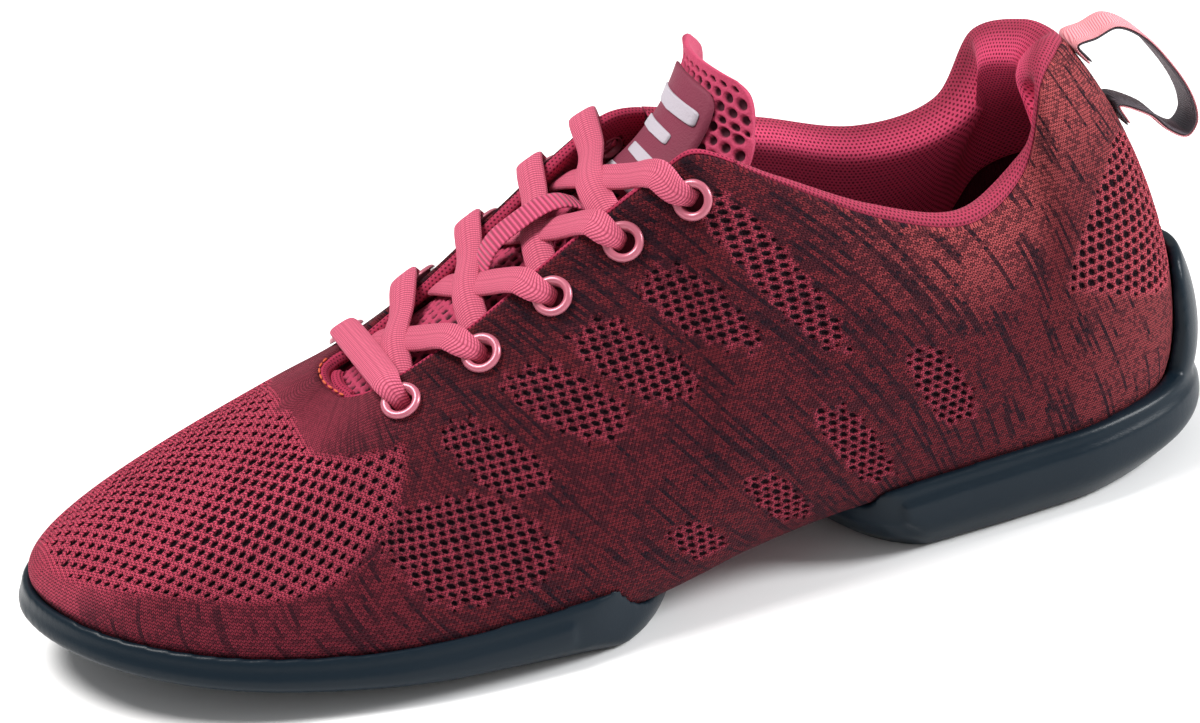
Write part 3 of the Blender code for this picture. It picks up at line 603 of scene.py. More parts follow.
vent_share = np.zeros_like(wall_t)
for vent in VENTS:
    from_b = (wall_t - vent.height * wall_height) / vent.long
    wale_lean = np.interp(vent.arc, LEAN_AT, LEAN) * from_b * vent.long
    from_a = (round_s[None, :] - vent.arc - wale_lean) / vent.wide
    reach = oval(from_a, from_b, 3)
    reach += 0.13 * np.sin(wale_a * 1.1) * np.sin(wale_b * 1.4)
    vent_share = np.maximum(vent_share, soft_step(reach, 1.06, 0.86))
vent_share *= 1 - toe_share

heel_middle = (16.0, 0.53)
heel_half = (34.0, 19.0)
heel_reach = oval((round_s[None, :] - heel_middle[0]) / heel_half[0],
                  (wall_t - heel_middle[1] * wall_height) / heel_half[1], 1.25)
heel_share = soft_step(heel_reach, 1.05, 0.92)

sunk = (net_depth(toe_a, toe_b, *toe_pitch, *toe_size, toe_share) * (toe_share > 0.05)
        + net_depth(wale_a, wale_b, *vent_pitch, *vent_size, vent_share) * (vent_share > 0.05)
        + net_depth(wale_a, wale_b, *heel_pitch, *heel_size, heel_share) * (heel_share > 0.05))
knit_points = wall - wall_normal * (np.clip(sunk, 0, 1) * vent_depth)[..., None]

under_rows = 4
under = np.stack([foot_point(round_u, turn_under * (k / under_rows)) for k in range(under_rows, 0, -1)])
rim_turn = np.linspace(0.0, math.pi, 6)[1:]
rim = np.stack([from_top(round_u, knit_wall / 2 * math.sin(angle), knit_wall / 2 * (1 - math.cos(angle)))
                for angle in rim_turn])
inner_rows = 12
inner_v = np.linspace(1.0, 0.0, inner_rows + 1)[1:]
inner_wall = shell(round_u[None, :], inner_v[:, None], np.full((inner_rows, 1), knit_wall))
inner_wall[..., 2] = np.maximum(inner_wall[..., 2], level("seat", inner_wall[..., 0]) + knit_wall)
inner_hem = np.stack([foot_point(round_u, turn_under, knit_wall), foot_point(round_u, turn_under)])
knit_points = np.concatenate([under, knit_points, rim, inner_wall, inner_hem])
hidden_rows = len(rim_turn) + inner_rows + len(inner_hem)


def padded_rows(values):
    """Repeats the first and last rows for the hem, the rolled edge and the inner face."""
    return np.concatenate([np.repeat(values[:1], under_rows, axis=0), values,
                           np.repeat(values[-1:], hidden_rows, axis=0)])


knit_a = padded_rows(wale_a)
knit_b = padded_rows(wale_b)
knit_b[:under_rows] -= (turn_under * 1000 * np.arange(under_rows, 0, -1) / under_rows)[:, None]

run = np.gradient(knit_points, axis=1)
run[:, 0] = run[:, -1] = (knit_points[:, 1] - knit_points[:, -2]) / 2
knit_normals = unit(np.cross(np.gradient(knit_points, axis=0), run))

EYELETS_OUTER = [(.303, .50), (.370, .50), (.431, .50), (.492, .50), (.548, .62)]
EYELETS_INNER = [(.303, .50), (.370, .50), (.431, .50), (.490, .50), (.541, .62)]
facing_width = 0.013
eyelet_bore = 0.0025
eyelet_radius = 0.0043


def eyelet_place(place, setback, outer):
    """Row and height of the wall at which an eyelet sits."""
    low, high = (toe_row / 2, toe_row - 1.0) if outer else (len(UPPER) - toe_row / 2, toe_row + 1.0)
    for _ in range(24):
        u = (low + high) / 2
        v = below_top(u, setback * facing_width)
        if skin(u, v)[0] / shoe_length + 0.5 > place:
            low = u
        else:
            high = u
    return u, float(v)


eyelet_spots = [eyelet_place(*hole, True) for hole in EYELETS_OUTER]
eyelet_spots += [eyelet_place(*hole, False) for hole in EYELETS_INNER]
eyelet_centres = np.array([skin(u, v) for u, v in eyelet_spots])
eyelet_axes = np.array([skin_normal(u, v) for u, v in eyelet_spots])


def clear_of_eyelets(points, faces):
    """Leaves out the faces that the eyelets' barrels go through."""
    punched = eyelet_bore + 0.0006
    barrel_reach = 0.004
    middles = points.reshape(-1, 3)[faces].mean(axis=1)
    free = np.ones(len(faces), dtype=bool)
    for centre, axis in zip(eyelet_centres, eyelet_axes):
        away = middles - centre
        deep = away @ axis
        beside = np.linalg.norm(away - deep[:, None] * axis, axis=1)
        free &= (beside > punched) | (np.abs(deep) > barrel_reach)
    return faces[free]


knit, tree, shader = finish_named("knit", 0.86, sheen=0.06, specular=0.06)
side_a, side_b = flat_place(tree, "wales")
crown_a, crown_b = flat_place(tree, "courses")
toe_zone = stored(tree, "toe_zone")
on_toe = calc(tree, "GREATER_THAN", toe_zone, least_share)
off_toe = minus(tree, 1.0, on_toe)
place_a = plus(tree, times(tree, side_a, off_toe), times(tree, crown_b, on_toe))
place_b = plus(tree, times(tree, side_b, off_toe), times(tree, crown_a, on_toe))

# Each stitch is a small V: two slanted legs that meet at the wale's middle.
leg_slant = 1.3
stitch_a = divided(tree, place_a, stitch_pitch[0])
leg = ridge(tree, stitch_a)
stitch_b = plus(tree, divided(tree, place_b, stitch_pitch[1]), times(tree, leg, leg_slant))
row_wave = ridge(tree, stitch_b)
leg_round = calc(tree, "SINE", times(tree, leg, 2 * math.pi))
stitch_height = times(tree, ramp(tree, row_wave, 0.52, 0.08), ramp(tree, leg_round, 0.0, 0.75, 0.25, 1.0))

# Navy yarn shows as single specks and as long thin streaks down the wales. The streaks
# come closer together in clouds and where the knit is marled more.
wale = calc(tree, "FLOOR", stitch_a)
chance = tree.nodes.new("ShaderNodeTexWhiteNoise")
chance.noise_dimensions = "2D"
tree.links.new(joined(tree, wale, calc(tree, "FLOOR", stitch_b)), chance.inputs["Vector"])
luck = chance.outputs["Value"]
marl = stored(tree, "marl")
streak_place = joined(tree, times(tree, wale, 0.86), times(tree, side_b, 0.050))
cloud_place = joined(tree, times(tree, side_a, 0.045), times(tree, side_b, 0.016), 5.0)
cloud = minus(tree, grain(tree, cloud_place, 1.0, 2.0, 0.5), 0.5)
streak_level = plus(tree, grain(tree, streak_place, 1.0, 1.0, 0.5), times(tree, cloud, 0.34))
streak_level = plus(tree, streak_level, times(tree, luck, 0.055))
streak_level = plus(tree, streak_level, times(tree, marl, 0.25))
marled = calc(tree, "MINIMUM", times(tree, marl, 4.5), 1.0)
streak = times(tree, ramp(tree, streak_level, 0.695, 0.735), marled)
streak = times(tree, streak, plus(tree, 0.70, times(tree, luck, 0.30)))
speck = times(tree, ramp(tree, minus(tree, marl, luck), -0.10, 0.06), 0.60)
is_navy = calc(tree, "MAXIMUM", streak, speck)

crimson = (0.112, 0.0085, 0.0150)
navy_yarn = (0.007, 0.0050, 0.010)
bright_yarn = (0.60, 0.070, 0.125)
salmon_yarn = (0.47, 0.085, 0.090)
stitch_gap_shade = (0.016, 0.004, 0.008)
hole_shade = (0.010, 0.003, 0.006)
inner_face = (0.075, 0.008, 0.018)
# Bright share: real bright yarn in the open knit, at the toe and the heel, plus a painted highlight on the
# toe's crown.
bright_and_highlight = stored(tree, "bright_and_highlight")
navy_share = times(tree, is_navy, minus(tree, 1.0, times(tree, bright_and_highlight, 0.85)))
yarn = tint(tree, bright_and_highlight, tint(tree, stored(tree, "warm"), crimson, salmon_yarn), bright_yarn)
yarn = tint(tree, navy_share, yarn, navy_yarn)
# Painted shade: the gaps between the stitches' legs are coloured near black.
yarn = tint(tree, ramp(tree, stitch_height, 0.0, 0.6, 0.95, 0.0), yarn, stitch_gap_shade)

toe_hole = net_holes(tree, crown_a, crown_b, *toe_pitch, *toe_size, toe_zone)
vent_hole = net_holes(tree, side_a, side_b, *vent_pitch, *vent_size, stored(tree, "vent_zone"))
heel_hole = net_holes(tree, side_a, side_b, *heel_pitch, *heel_size, stored(tree, "heel_zone"))
hole = calc(tree, "MAXIMUM", toe_hole, calc(tree, "MAXIMUM", vent_hole, heel_hole))
# Painted shade: the knitted holes are coloured near black, for the shade inside the shoe seen through them.
yarn = tint(tree, hole, yarn, hole_shade)
coloured(tree, shader, stored(tree, "inside"), yarn, inner_face)
surface = minus(tree, times(tree, stitch_height, 0.45), hole)
relief(tree, shader, surface, 0.0007, 0.9)

toe_fade = soft_step(place_x, 0.36, 0.12)
plain = 1 - np.clip(toe_share + 0.6 * vent_share + 0.85 * heel_share, 0.0, 1.0)
marl_share = (0.46 - 0.14 * toe_fade - 0.20 * soft_step(round_s[None, :], 110.0, 50.0)) * plain
collar_near = soft_step(wall_height - wall_t, 26.0, 4.0) * soft_step(round_s[None, :], 118.0, 70.0)
heel_near = soft_step(round_s[None, :], 75.0, 10.0)
warm_share = np.clip(0.66 * collar_near + 0.42 * heel_near + 0.5 * heel_share + 0.08, 0.0, 1.0)
warm_share = warm_share * (1 - toe_fade)
open_knit = np.clip(toe_share + 0.70 * vent_share, 0.0, 1.0)
# Painted highlight: the toe's crown, which faces the light above, is lightened.
crown_highlight = soft_step(np.abs(toe_b), 30.0, 12.0) * soft_step(place_x, 0.33, 0.27)
bright_and_highlight_share = np.clip(0.62 * open_knit + 0.24 * toe_fade + 0.66 * crown_highlight + 0.46 * heel_share, 0.0, 1.0)

half = columns_round // 2
for name, first, last in (("upper_knit_outer", 0, half), ("upper_knit_inner", half, columns_round)):
    part = slice(first, last + 1)
    points = knit_points[:, part]
    faces = grid_faces(points.shape[0], points.shape[1])
    panel = add_piece(name, points, clear_of_eyelets(points, faces)[:, ::-1], knit)
    lay_out(panel, "wales", knit_a[:, part] * np.where(first, -1.0, 1.0), knit_b[:, part])
    lay_out(panel, "courses", padded_rows(toe_a)[:, part], padded_rows(toe_b)[:, part])
    for label, values in (("toe_zone", toe_share), ("vent_zone", vent_share), ("heel_zone", heel_share),
                          ("marl", marl_share), ("warm", warm_share), ("bright_and_highlight", bright_and_highlight_share)):
        keep(panel, label, padded_rows(np.broadcast_to(values, wall_t.shape))[:, part])
    inside = np.zeros(points.shape[:2])
    inside[-inner_rows - len(inner_hem):] = 1.0
    keep(panel, "inside", inside)
    panel.data.normals_split_custom_set_from_vertices(knit_normals[:, part].reshape(-1, 3).tolist())
    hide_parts("upper")


# Sole: two moulded pads of satin slate-blue rubber cemented under the ball and the heel,
# each with a stepped lip round the knit; the heel pad runs up the back as a spur.
gap = 0.0003
lip_wall = 0.0012
lip_band = 0.0032
sole_step = 0.0009
spur_height = 0.0425
spur_wall = 0.0062

Flare = namedtuple("Flare", "place out tuck")
FLARES = [
    Flare(.00, .12, .66),
    Flare(.10, .12, .94),
    Flare(.20, .11, 1.02),
    Flare(.30, .11, .84),
    Flare(.38, .11, .50),
    Flare(.45, .12, .24),
    Flare(.70, .13, .20),
    Flare(.85, .17, .22),
    Flare(.93, .28, .30),
    Flare(.97, .40, .38),
    Flare(1.00, .46, .42),
]
End = namedtuple("End", "height reach rounding spread")
FOREFOOT_END = [
    End(-.30, .503, .140, 1.04),
    End(.05, .515, .132, 1.03),
    End(.30, .522, .128, 1.02),
    End(2.2, .526, .128, 1.02),
]
HEEL_END = [
    End(-.30, .668, .085, .73),
    End(.05, .654, .080, .73),
    End(.30, .640, .070, .75),
    End(.65, .630, .060, .76),
    End(2.2, .628, .058, .76),
]
Side = namedtuple("Side", "rise tuck out")
SIDES = [
    Side(.00, 1.00, .00),
    Side(.06, .70, .00),
    Side(.20, .41, .30),
    Side(.42, .12, .80),
    Side(.66, .00, 1.00),
    Side(1.00, .00, 1.00),
]
Spur = namedtuple("Spur", "share half")
SPUR = [
    Spur(0.20, 0.95),
    Spur(0.45, 0.72),
    Spur(0.68, 0.62),
    Spur(0.86, 0.54),
    Spur(0.96, 0.42),
    Spur(1.00, 0.26),
]
sole_rows = np.arange(len(UPPER) * 10) / 10


def height_on_skin(u, wanted):
    """The v at which the knit's outer face reaches a height given as a function of x."""
    u = np.asarray(u, dtype=float)
    low = np.zeros_like(u)
    high = np.full_like(u, 0.8)
    for _ in range(26):
        v = (low + high) / 2
        point = skin(u, v)
        below = point[..., 2] < wanted(point[..., 0])
        low = np.where(below, v, low)
        high = np.where(below, high, v)
    return (low + high) / 2


def flare(x, name="out"):
    return seat_height * through(FLARES, name, x / shoe_length + 0.5)


def filled(loops, lanes, low_height=None, high_height=None):
    """Solid of loops one above another, filled rung by rung across the shoe at both ends."""
    loops = [np.asarray(loop) for loop in loops]
    size = len(loops[0])
    half_way = size // 2
    points = [p for loop in loops for p in loop]
    faces = [tuple(f) for f in grid_faces(len(loops), size, wrap=True)]
    top_start = (len(loops) - 1) * size
    for start, loop, height in ((0, loops[0], low_height), (top_start, loops[-1], high_height)):
        rungs = []
        for i in range(1, half_way):
            rung = [start + i]
            for k in range(1, lanes):
                point = loop[i] * (1 - k / lanes) + loop[size - i] * (k / lanes)
                if height:
                    point[2] = height(point[0])
                rung.append(len(points))
                points.append(point)
            rung.append(start + size - i)
            rungs.append(rung)
        for low, high in zip(rungs, rungs[1:]):
            faces += [(low[k], low[k + 1], high[k + 1], high[k]) for k in range(lanes)]
        for k in range(lanes):
            faces.append((start, rungs[0][k + 1], rungs[0][k]))
            faces.append((start + half_way, rungs[-1][k], rungs[-1][k + 1]))
    return points, faces


def capped(rings):
    """Solid through rings of equal count, with flat ends."""
    rings = np.asarray(rings)
    count, size = rings.shape[:2]
    faces = [tuple(f) for f in grid_faces(count, size, wrap=True)]
    faces.append(tuple(reversed(range(size))))
    faces.append(tuple(range((count - 1) * size, count * size)))
    return rings.reshape(-1, 3), faces


def form(name, points, faces):
    """A closed helper solid for cutting, its faces turned outwards."""
    mesh = bpy.data.meshes.new(name)
    mesh.from_pydata((np.asarray(points) + stand).tolist(), [], faces)
    work = bmesh.new()
    work.from_mesh(mesh)
    bmesh.ops.triangulate(work, faces=work.faces[:])
    bmesh.ops.recalc_face_normals(work, faces=work.faces[:])
    if work.calc_volume(signed=True) < 0:
        bmesh.ops.reverse_faces(work, faces=work.faces[:])
    work.to_mesh(mesh)
    work.free()
    made = bpy.data.objects.new(name, mesh)
    bpy.context.scene.collection.objects.link(made)
    return made


def cut_with(target, operation, cutter):
    step = target.modifiers.new(cutter.name, "BOOLEAN")
    step.operation = operation
    step.solver = "EXACT"
    step.object = cutter


def settled(name, target, finish, node, facet, rounds):
    """The finished piece: its cuts made, its skin remade in small even facets, softened."""
    remake = target.modifiers.new("even_skin", "REMESH")
    remake.mode = "VOXEL"
    remake.voxel_size = facet
    soften = target.modifiers.new("soften", "SMOOTH")
    soften.factor = 0.5
    soften.iterations = rounds
    bpy.context.view_layer.update()
    ready = target.evaluated_get(bpy.context.evaluated_depsgraph_get())
    mesh = bpy.data.meshes.new_from_object(ready)
    mesh.name = name
    mesh.shade_smooth()
    mesh.materials.clear()
    mesh.materials.append(finish)
    piece = bpy.data.objects.new(name, mesh)
    bpy.context.scene.collection.objects.link(piece)
    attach(piece, "root")
    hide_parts(node)
    return piece


def sole_blank(name):
    """The whole sole's outer form: tread, side, step and lip."""
    v = height_on_skin(sole_rows, lambda x: level("lip", x))
    edge = skin(sole_rows, v)
    out = skin_normal(sole_rows, v)
    out[:, 2] = 0.0
    out = unit(out)
    wide = flare(edge[:, 0])
    tuck = flare(edge[:, 0], "tuck")
    reach = gap + lip_wall
    low = level("tread", edge[:, 0])
    high = edge[:, 2] - lip_band - sole_step
    loops = []
    for rise in (0, .02, .06, .12, .20, .30, .42, .54, .66, .80, .92, 1.0):
        stand_out = reach + wide * through(SIDES, "out", rise) - tuck * through(SIDES, "tuck", rise)
        loop = edge + out * stand_out[:, None]
        loop[:, 2] = low + (high - low) * rise
        loops.append(loop)
    for stand_out, drop in ((wide - sole_step, lip_band), ((wide - sole_step) * 0.7, lip_wall * 0.6)):
        loop = edge + out * (reach + stand_out)[:, None]
        loop[:, 2] = edge[:, 2] - drop
        loops.append(loop)
    loops.append(edge + out * (gap + lip_wall * 0.7))
    return form(name, *filled(loops, 4))


def end_block(name, table, towards_heel):
    """The region that a pad keeps: a round-ended block whose end leans with height."""
    loops = []
    angle = np.pi * (np.arange(49) / 48 - 0.5)
    for row in table:
        y = np.sin(angle) * row.spread * half_ball
        curve = (1 - np.cos(angle)) * row.rounding * shoe_length
        x = (row.reach - 0.5) * shoe_length + (curve if towards_heel else -curve)
        far = (1.2 if towards_heel else -0.2) * shoe_length - 0.5 * shoe_length
        beside = 1.6 * half_ball
        x = np.concatenate([x, [x[-1], far, far, x[0]]])
        y = np.concatenate([y, [beside, beside, -beside, -beside]])
        loops.append(points_of(x, y, row.height * seat_height))
    return form(name, *capped(loops))


last_loops = [shell(sole_rows, k / 24, np.full(sole_rows.shape, -gap)) for k in range(17)]
last_loops[0] = foot_point(sole_rows, 0.0, -gap)
last_top = 0.06
last_form = form("last_form", *filled(last_loops, 4, lambda x: level("seat", x) - gap, lambda x: last_top))

spur_rings = []
lanes_out = np.linspace(1.0, -1.0, 19)
for share in np.linspace(0.20, 1.0, 25):
    half_rows = float(through(SPUR, "half", share))
    u = half_rows * lanes_out
    v = height_on_skin(u, lambda x: np.full_like(x, spur_height * share))
    edge = 1 - np.abs(lanes_out) ** 4 * 0.45
    thin = 1 - 0.55 * share**3
    inner = shell(u, v, np.full(u.shape, gap))
    outer = shell(u, v, -gap - spur_wall * edge * thin)
    spur_rings.append(np.concatenate([inner, outer[::-1]]))
spur_form = form("spur_form", *capped(spur_rings))


def fine_grain(tree, scale, detail, roughness):
    """Grain that stays with the piece, by its own place."""
    coords = tree.nodes.new("ShaderNodeTexCoord")
    return grain(tree, coords.outputs["Object"], scale, detail, roughness)


rubber, tree, shader = finish_named("sole_rubber", 0.33, specular=0.17)
shader.inputs["Base Color"].default_value = (0.0052, 0.0118, 0.0190, 1.0)
relief(tree, shader, fine_grain(tree, 2600.0, 3.0, 0.6), 0.00012, 0.35)

sole_facet = 0.0006
front_rounds = 24
heel_rounds = 12
front_blank = sole_blank("front_blank")
front_block = end_block("front_block", FOREFOOT_END, False)
cut_with(front_blank, "INTERSECT", front_block)
cut_with(front_blank, "DIFFERENCE", last_form)
settled("sole_forefoot", front_blank, rubber, "outsole_forefoot", sole_facet, front_rounds)
rear_blank = sole_blank("rear_blank")
rear_block = end_block("rear_block", HEEL_END, True)
cut_with(rear_blank, "INTERSECT", rear_block)
cut_with(rear_blank, "UNION", spur_form)
cut_with(rear_blank, "DIFFERENCE", last_form)
settled("sole_heel", rear_blank, rubber, "outsole_heel", sole_facet, heel_rounds)
for helper in (front_blank, front_block, rear_blank, rear_block, spur_form, last_form):
    bpy.data.objects.remove(helper, do_unlink=True)


# Strobel board: felted sheet stitched to the knit's turned-under edge, and the foam
# insole with its fabric cover that lies on it inside the shoe.
board_thickness = 0.0016
insole_thickness = 0.0035
bed_rows = np.arange(len(UPPER) * 6) / 6
board, tree, shader = finish_named("board", 0.9)
shader.inputs["Base Color"].default_value = (0.16, 0.035, 0.05, 1.0)
relief(tree, shader, fine_grain(tree, 3000.0, 4.0, 0.7), 0.0002, 0.6)
points, faces = filled([foot_point(bed_rows, turn_under + gap),
                        foot_point(bed_rows, turn_under + gap, board_thickness)], 12,
                       lambda x: level("seat", x), lambda x: level("seat", x) + board_thickness)
board_piece = add_piece("strobel_board", points, faces, board)
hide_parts("strobel_sole")

foam, tree, shader = finish_named("insole_cover", 0.9, sheen=0.2)
weave = fine_grain(tree, 1800.0, 2.0, 0.5)
coloured(tree, shader, weave, (0.075, 0.008, 0.018), (0.12, 0.015, 0.03))
relief(tree, shader, weave, 0.0002, 0.6)
bed_low = knit_wall + gap
bed_high = bed_low + insole_thickness
bed_loops = []
for share in np.linspace(0.0, 1.0, 7):
    bulge = math.sin(share * math.pi)
    inset = knit_wall * (1.0 - 0.7 * bulge - 0.5 * share * (1 - bulge))
    bed_loops.append(foot_point(bed_rows, inset, bed_low + insole_thickness * share))
points, faces = filled(bed_loops, 14, lambda x: level("seat", x) + bed_low,
                       lambda x: level("seat", x) + bed_high)
insole_piece = add_piece("insole_pad", points, faces, foam)
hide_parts("insole")


# Collar: a sock lining of fine pink spacer mesh, padded with foam, rolled over the top
# line and sewn down inside the quarters and the heel.
lining_wall = 0.0010
facing_width = 0.013
collar_pad = 0.0076
collar_roll = 0.0040
collar_depth = 0.034
collar_end = toe_row / 2 - 0.5
Pad = namedtuple("Pad", "row share")
PADDING = [
    Pad(0.0, 1.0),
    Pad(3.0, .92),
    Pad(5.0, .66),
    Pad(6.0, .36),
    Pad(7.0, .14),
]


def closed_curve(section, parts):
    """A smooth closed line through the corners of a section, row by row."""
    before = np.roll(section, 1, axis=1)
    after = np.roll(section, -1, axis=1)
    beyond = np.roll(section, -2, axis=1)
    t = (np.arange(parts) / parts)[None, None, :, None]
    a, b, c, d = (corner[:, :, None, :] for corner in (before, section, after, beyond))
    curve = 0.5 * (2 * b + (c - a) * t + (2 * a - 5 * b + 4 * c - d) * t**2
                   + (3 * b - a - 3 * c + d) * t**3)
    return curve.reshape(section.shape[0], -1, section.shape[2])


def strip(u, corners, parts):
    """Rings that follow the top line through rows u, each smooth through its corners."""
    section = np.stack([np.stack(np.broadcast_arrays(rise, depth, u)[:2], axis=-1)
                        for rise, depth in corners], axis=1)
    curve = closed_curve(section, parts)
    return from_top(u[:, None], curve[..., 0], curve[..., 1])


def even_rows(first, last, pitch):
    """Rows along the top line at an even pitch."""
    fine = np.linspace(first, last, 900)
    line = skin(fine, 1.0)
    run = walked_along(line)
    even_run = np.linspace(0.0, run[-1], int(run[-1] / pitch) + 1)
    return np.interp(even_run, run, fine), even_run


def lay_weave(piece, run, rings):
    """Flat place of a strip in millimetres: along its line and around each ring."""
    steps = np.linalg.norm(np.diff(rings, axis=1), axis=-1)
    girth = np.concatenate([np.zeros((len(rings), 1)), np.cumsum(steps, axis=1)], axis=1)
    lay_out(piece, "weave", np.broadcast_to(run[:, None], girth.shape) * 1000, girth * 1000)


def pin_mesh(tree, a, b, pitch, size):
    """Height of a knitted mesh with fine round pinholes: 1 on the yarn, 0 in a hole."""
    return minus(tree, 1.0, net_holes(tree, a, b, pitch, pitch * 0.866, size, size, 1.0))


collar_u, collar_run = even_rows(-collar_end, collar_end, 0.0007)
outer = knit_wall + 2 * gap
pad = collar_pad * through(PADDING, "share", np.abs(collar_u))
roll = collar_roll * (0.35 + 0.65 * np.minimum(1.0, pad / collar_pad * 1.5))
inner = outer + lining_wall + pad
collar_rings = strip(collar_u, (
    (-collar_depth, outer),
    (-collar_depth * 0.72, outer),
    (-collar_depth * 0.45, outer),
    (-collar_depth * 0.2, outer),
    (gap * 2, outer),
    (gap * 2, knit_wall * 0.4),
    (roll * 0.5, knit_wall * 0.1),
    (roll * 0.95, knit_wall * 0.8),
    (roll, outer + pad * 0.4),
    (roll * 0.5, inner - pad * 0.08),
    (-roll, inner),
    (-collar_depth * 0.4, inner - pad * 0.2),
    (-collar_depth * 0.7, inner - pad * 0.6),
    (-collar_depth, outer + lining_wall),
), 5)

lining, tree, shader = finish_named("lining_mesh", 0.85, sheen=0.08, specular=0.2)
pin_pitch = 0.95
mesh_height = pin_mesh(tree, *flat_place(tree, "weave"), pin_pitch, 0.55)
# Painted shade: the pinholes are coloured darker than the yarn.
inside_mesh = tint(tree, mesh_height, (0.21, 0.012, 0.042), (0.82, 0.085, 0.200))
# Painted shade: the roll over the top line gets a darker copy of the mesh, toning down the light from
# above.
shaded_roll_mesh = tint(tree, mesh_height, (0.10, 0.006, 0.018), (0.31, 0.028, 0.064))
coloured(tree, shader, stored(tree, "rolled"), inside_mesh, shaded_roll_mesh)
relief(tree, shader, mesh_height, 0.0003, 0.8)
points, faces = capped(collar_rings)
collar_piece = add_piece("collar_padding", points, faces, lining)
lay_weave(collar_piece, collar_run, collar_rings)
# Share of the painted shade on the roll, by place round each ring.
rolled = np.interp(np.arange(collar_rings.shape[1]), [14, 22, 38, 46], [0.0, 1.0, 1.0, 0.0])
keep(collar_piece, "rolled", np.broadcast_to(rolled, collar_rings.shape[:2]))
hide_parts("collar_lining")


# Throat facing: a strip of the same mesh sewn inside the lacing edge, whose bound edge
# shows as a thin pink piping; a wider band of it shows at the foot of the throat.
binding_reach = 0.0013
facing_start = collar_end + 0.04
facing_u, facing_run = even_rows(facing_start, len(UPPER) - facing_start, 0.0006)
facing_inner = outer + lining_wall
facing_rings = strip(facing_u, (
    (-facing_width, outer),
    (-facing_width / 2, outer),
    (-gap, outer),
    (binding_reach * 0.9, outer * 0.30),
    (binding_reach * 1.7, outer * 0.62),
    (binding_reach * 1.2, facing_inner),
    (-facing_width / 2, facing_inner),
    (-facing_width, facing_inner),
), 4)
facing_mesh, tree, shader = finish_named("facing_mesh", 0.85, sheen=0.05, specular=0.15)
mesh_height = pin_mesh(tree, *flat_place(tree, "weave"), pin_pitch, 0.5)
# Painted shade: the pinholes are coloured darker than the yarn.
coloured(tree, shader, mesh_height, (0.10, 0.005, 0.020), (0.37, 0.030, 0.075))
relief(tree, shader, mesh_height, 0.0002, 0.7)
points, faces = capped(facing_rings)
facing_faces = clear_of_eyelets(points, np.array(faces[:-2]))
facing_piece = add_piece("throat_binding", points, facing_faces, facing_mesh)
lay_weave(facing_piece, facing_run, facing_rings)
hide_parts("throat_facing")


# Throat stay: a broader band of the same mesh that shows inside the foot of the throat,
# held by a row of small orange stitches through the knit's edge.
stay_half = 1.9
stay_width = 0.0040
stay_foot = -0.004
stay_u, stay_run = even_rows(toe_row - stay_half, toe_row + stay_half, 0.0006)
stay_reach = stay_width * soft_step(1 - np.abs(stay_u - toe_row) / stay_half, 0.0, 0.35)
stay_rings = strip(stay_u, (
    (stay_foot, facing_inner + gap),
    (stay_reach * 0.5, facing_inner * 0.9),
    (stay_reach, facing_inner * 0.95),
    (stay_reach * 1.1, facing_inner + 0.0004),
    (stay_reach, facing_inner + 0.0009),
    (stay_foot, facing_inner + 0.0011),
), 4)
points, faces = capped(stay_rings)
stay_piece = add_piece("throat_stay", points, faces, facing_mesh)
lay_weave(stay_piece, stay_run, stay_rings)

stitch_thread, tree, shader = finish_named("orange_thread", 0.6, sheen=0.1)
shader.inputs["Base Color"].default_value = (0.62, 0.10, 0.035, 1.0)
relief(tree, shader, fine_grain(tree, 4000.0, 2.0, 0.5), 0.0001, 0.5)
stitch_half = (0.0009, 0.00026, 0.00026)
stitch_seam = 1.6
stitch_step = 0.0024
stitch_rise = 0.0013
stitch_depth = 0.0004
stitch_rings = 7
stitch_u = even_rows(toe_row - stitch_seam, toe_row + stitch_seam, stitch_step)[0]
stitch_middle = from_top(stitch_u, stitch_rise, stitch_depth)
stitch_way = unit(from_top(stitch_u + 0.02, stitch_rise, stitch_depth) - stitch_middle)
stitch_out = skin_normal(stitch_u, 1.0)
stitch_side = unit(np.cross(stitch_way, stitch_out))
points = []
faces = []
turns = np.linspace(0.0, 2 * math.pi, 9)[:-1]
for middle, way, out, beside in zip(stitch_middle, stitch_way, stitch_out, stitch_side):
    start = len(points)
    for share in np.linspace(-0.96, 0.96, stitch_rings):
        radius = math.sqrt(1 - share**2)
        for turn in turns:
            points.append(middle + way * stitch_half[0] * share
                          + out * stitch_half[1] * radius * math.cos(turn)
                          + beside * stitch_half[2] * radius * math.sin(turn))
    faces += [tuple(face) for face in grid_faces(stitch_rings, len(turns), start, wrap=True)]
    faces.append(tuple(start + k for k in reversed(range(len(turns)))))
    faces.append(tuple(start + (stitch_rings - 1) * len(turns) + k for k in range(len(turns))))
add_piece("throat_stitches", points, faces, stitch_thread)


# Tongue: thick pink spacer mesh with open six-sided cells, curved over the instep and
# ending in a lip that leans to the inner side.
tongue_wall = 0.0032
Fold = namedtuple("Fold", "row place height half fall lean")
TONGUE = [
    Fold(0, .205, .430, .32, .015, .00),
    Fold(1, .240, .490, .38, .030, .00),
    Fold(2, .280, .553, .42, .055, .00),
    Fold(3, .340, .642, .48, .090, .00),
    Fold(4, .410, .744, .53, .118, .00),
    Fold(5, .480, .838, .56, .125, .00),
    Fold(6, .535, .920, .50, .120, .01),
    Fold(7, .566, 1.00, .46, .115, .02),
    Fold(8, .580, 1.06, .42, .105, .035),
    Fold(9, .590, 1.105, .39, .085, .06),
    Fold(10, .595, 1.135, .34, .045, .10),
]
cell_pitch = (2.6, 2.25)
cell_size = (2.0, 1.95)
cell_depth = 0.0012


def tongue_middle(t):
    """Point on the tongue's middle line; t runs up its rows."""
    return points_of((through(TONGUE, "place", t) - 0.5) * shoe_length,
                     through(TONGUE, "lean", t) * half_ball,
                     through(TONGUE, "height", t) * collar_height)


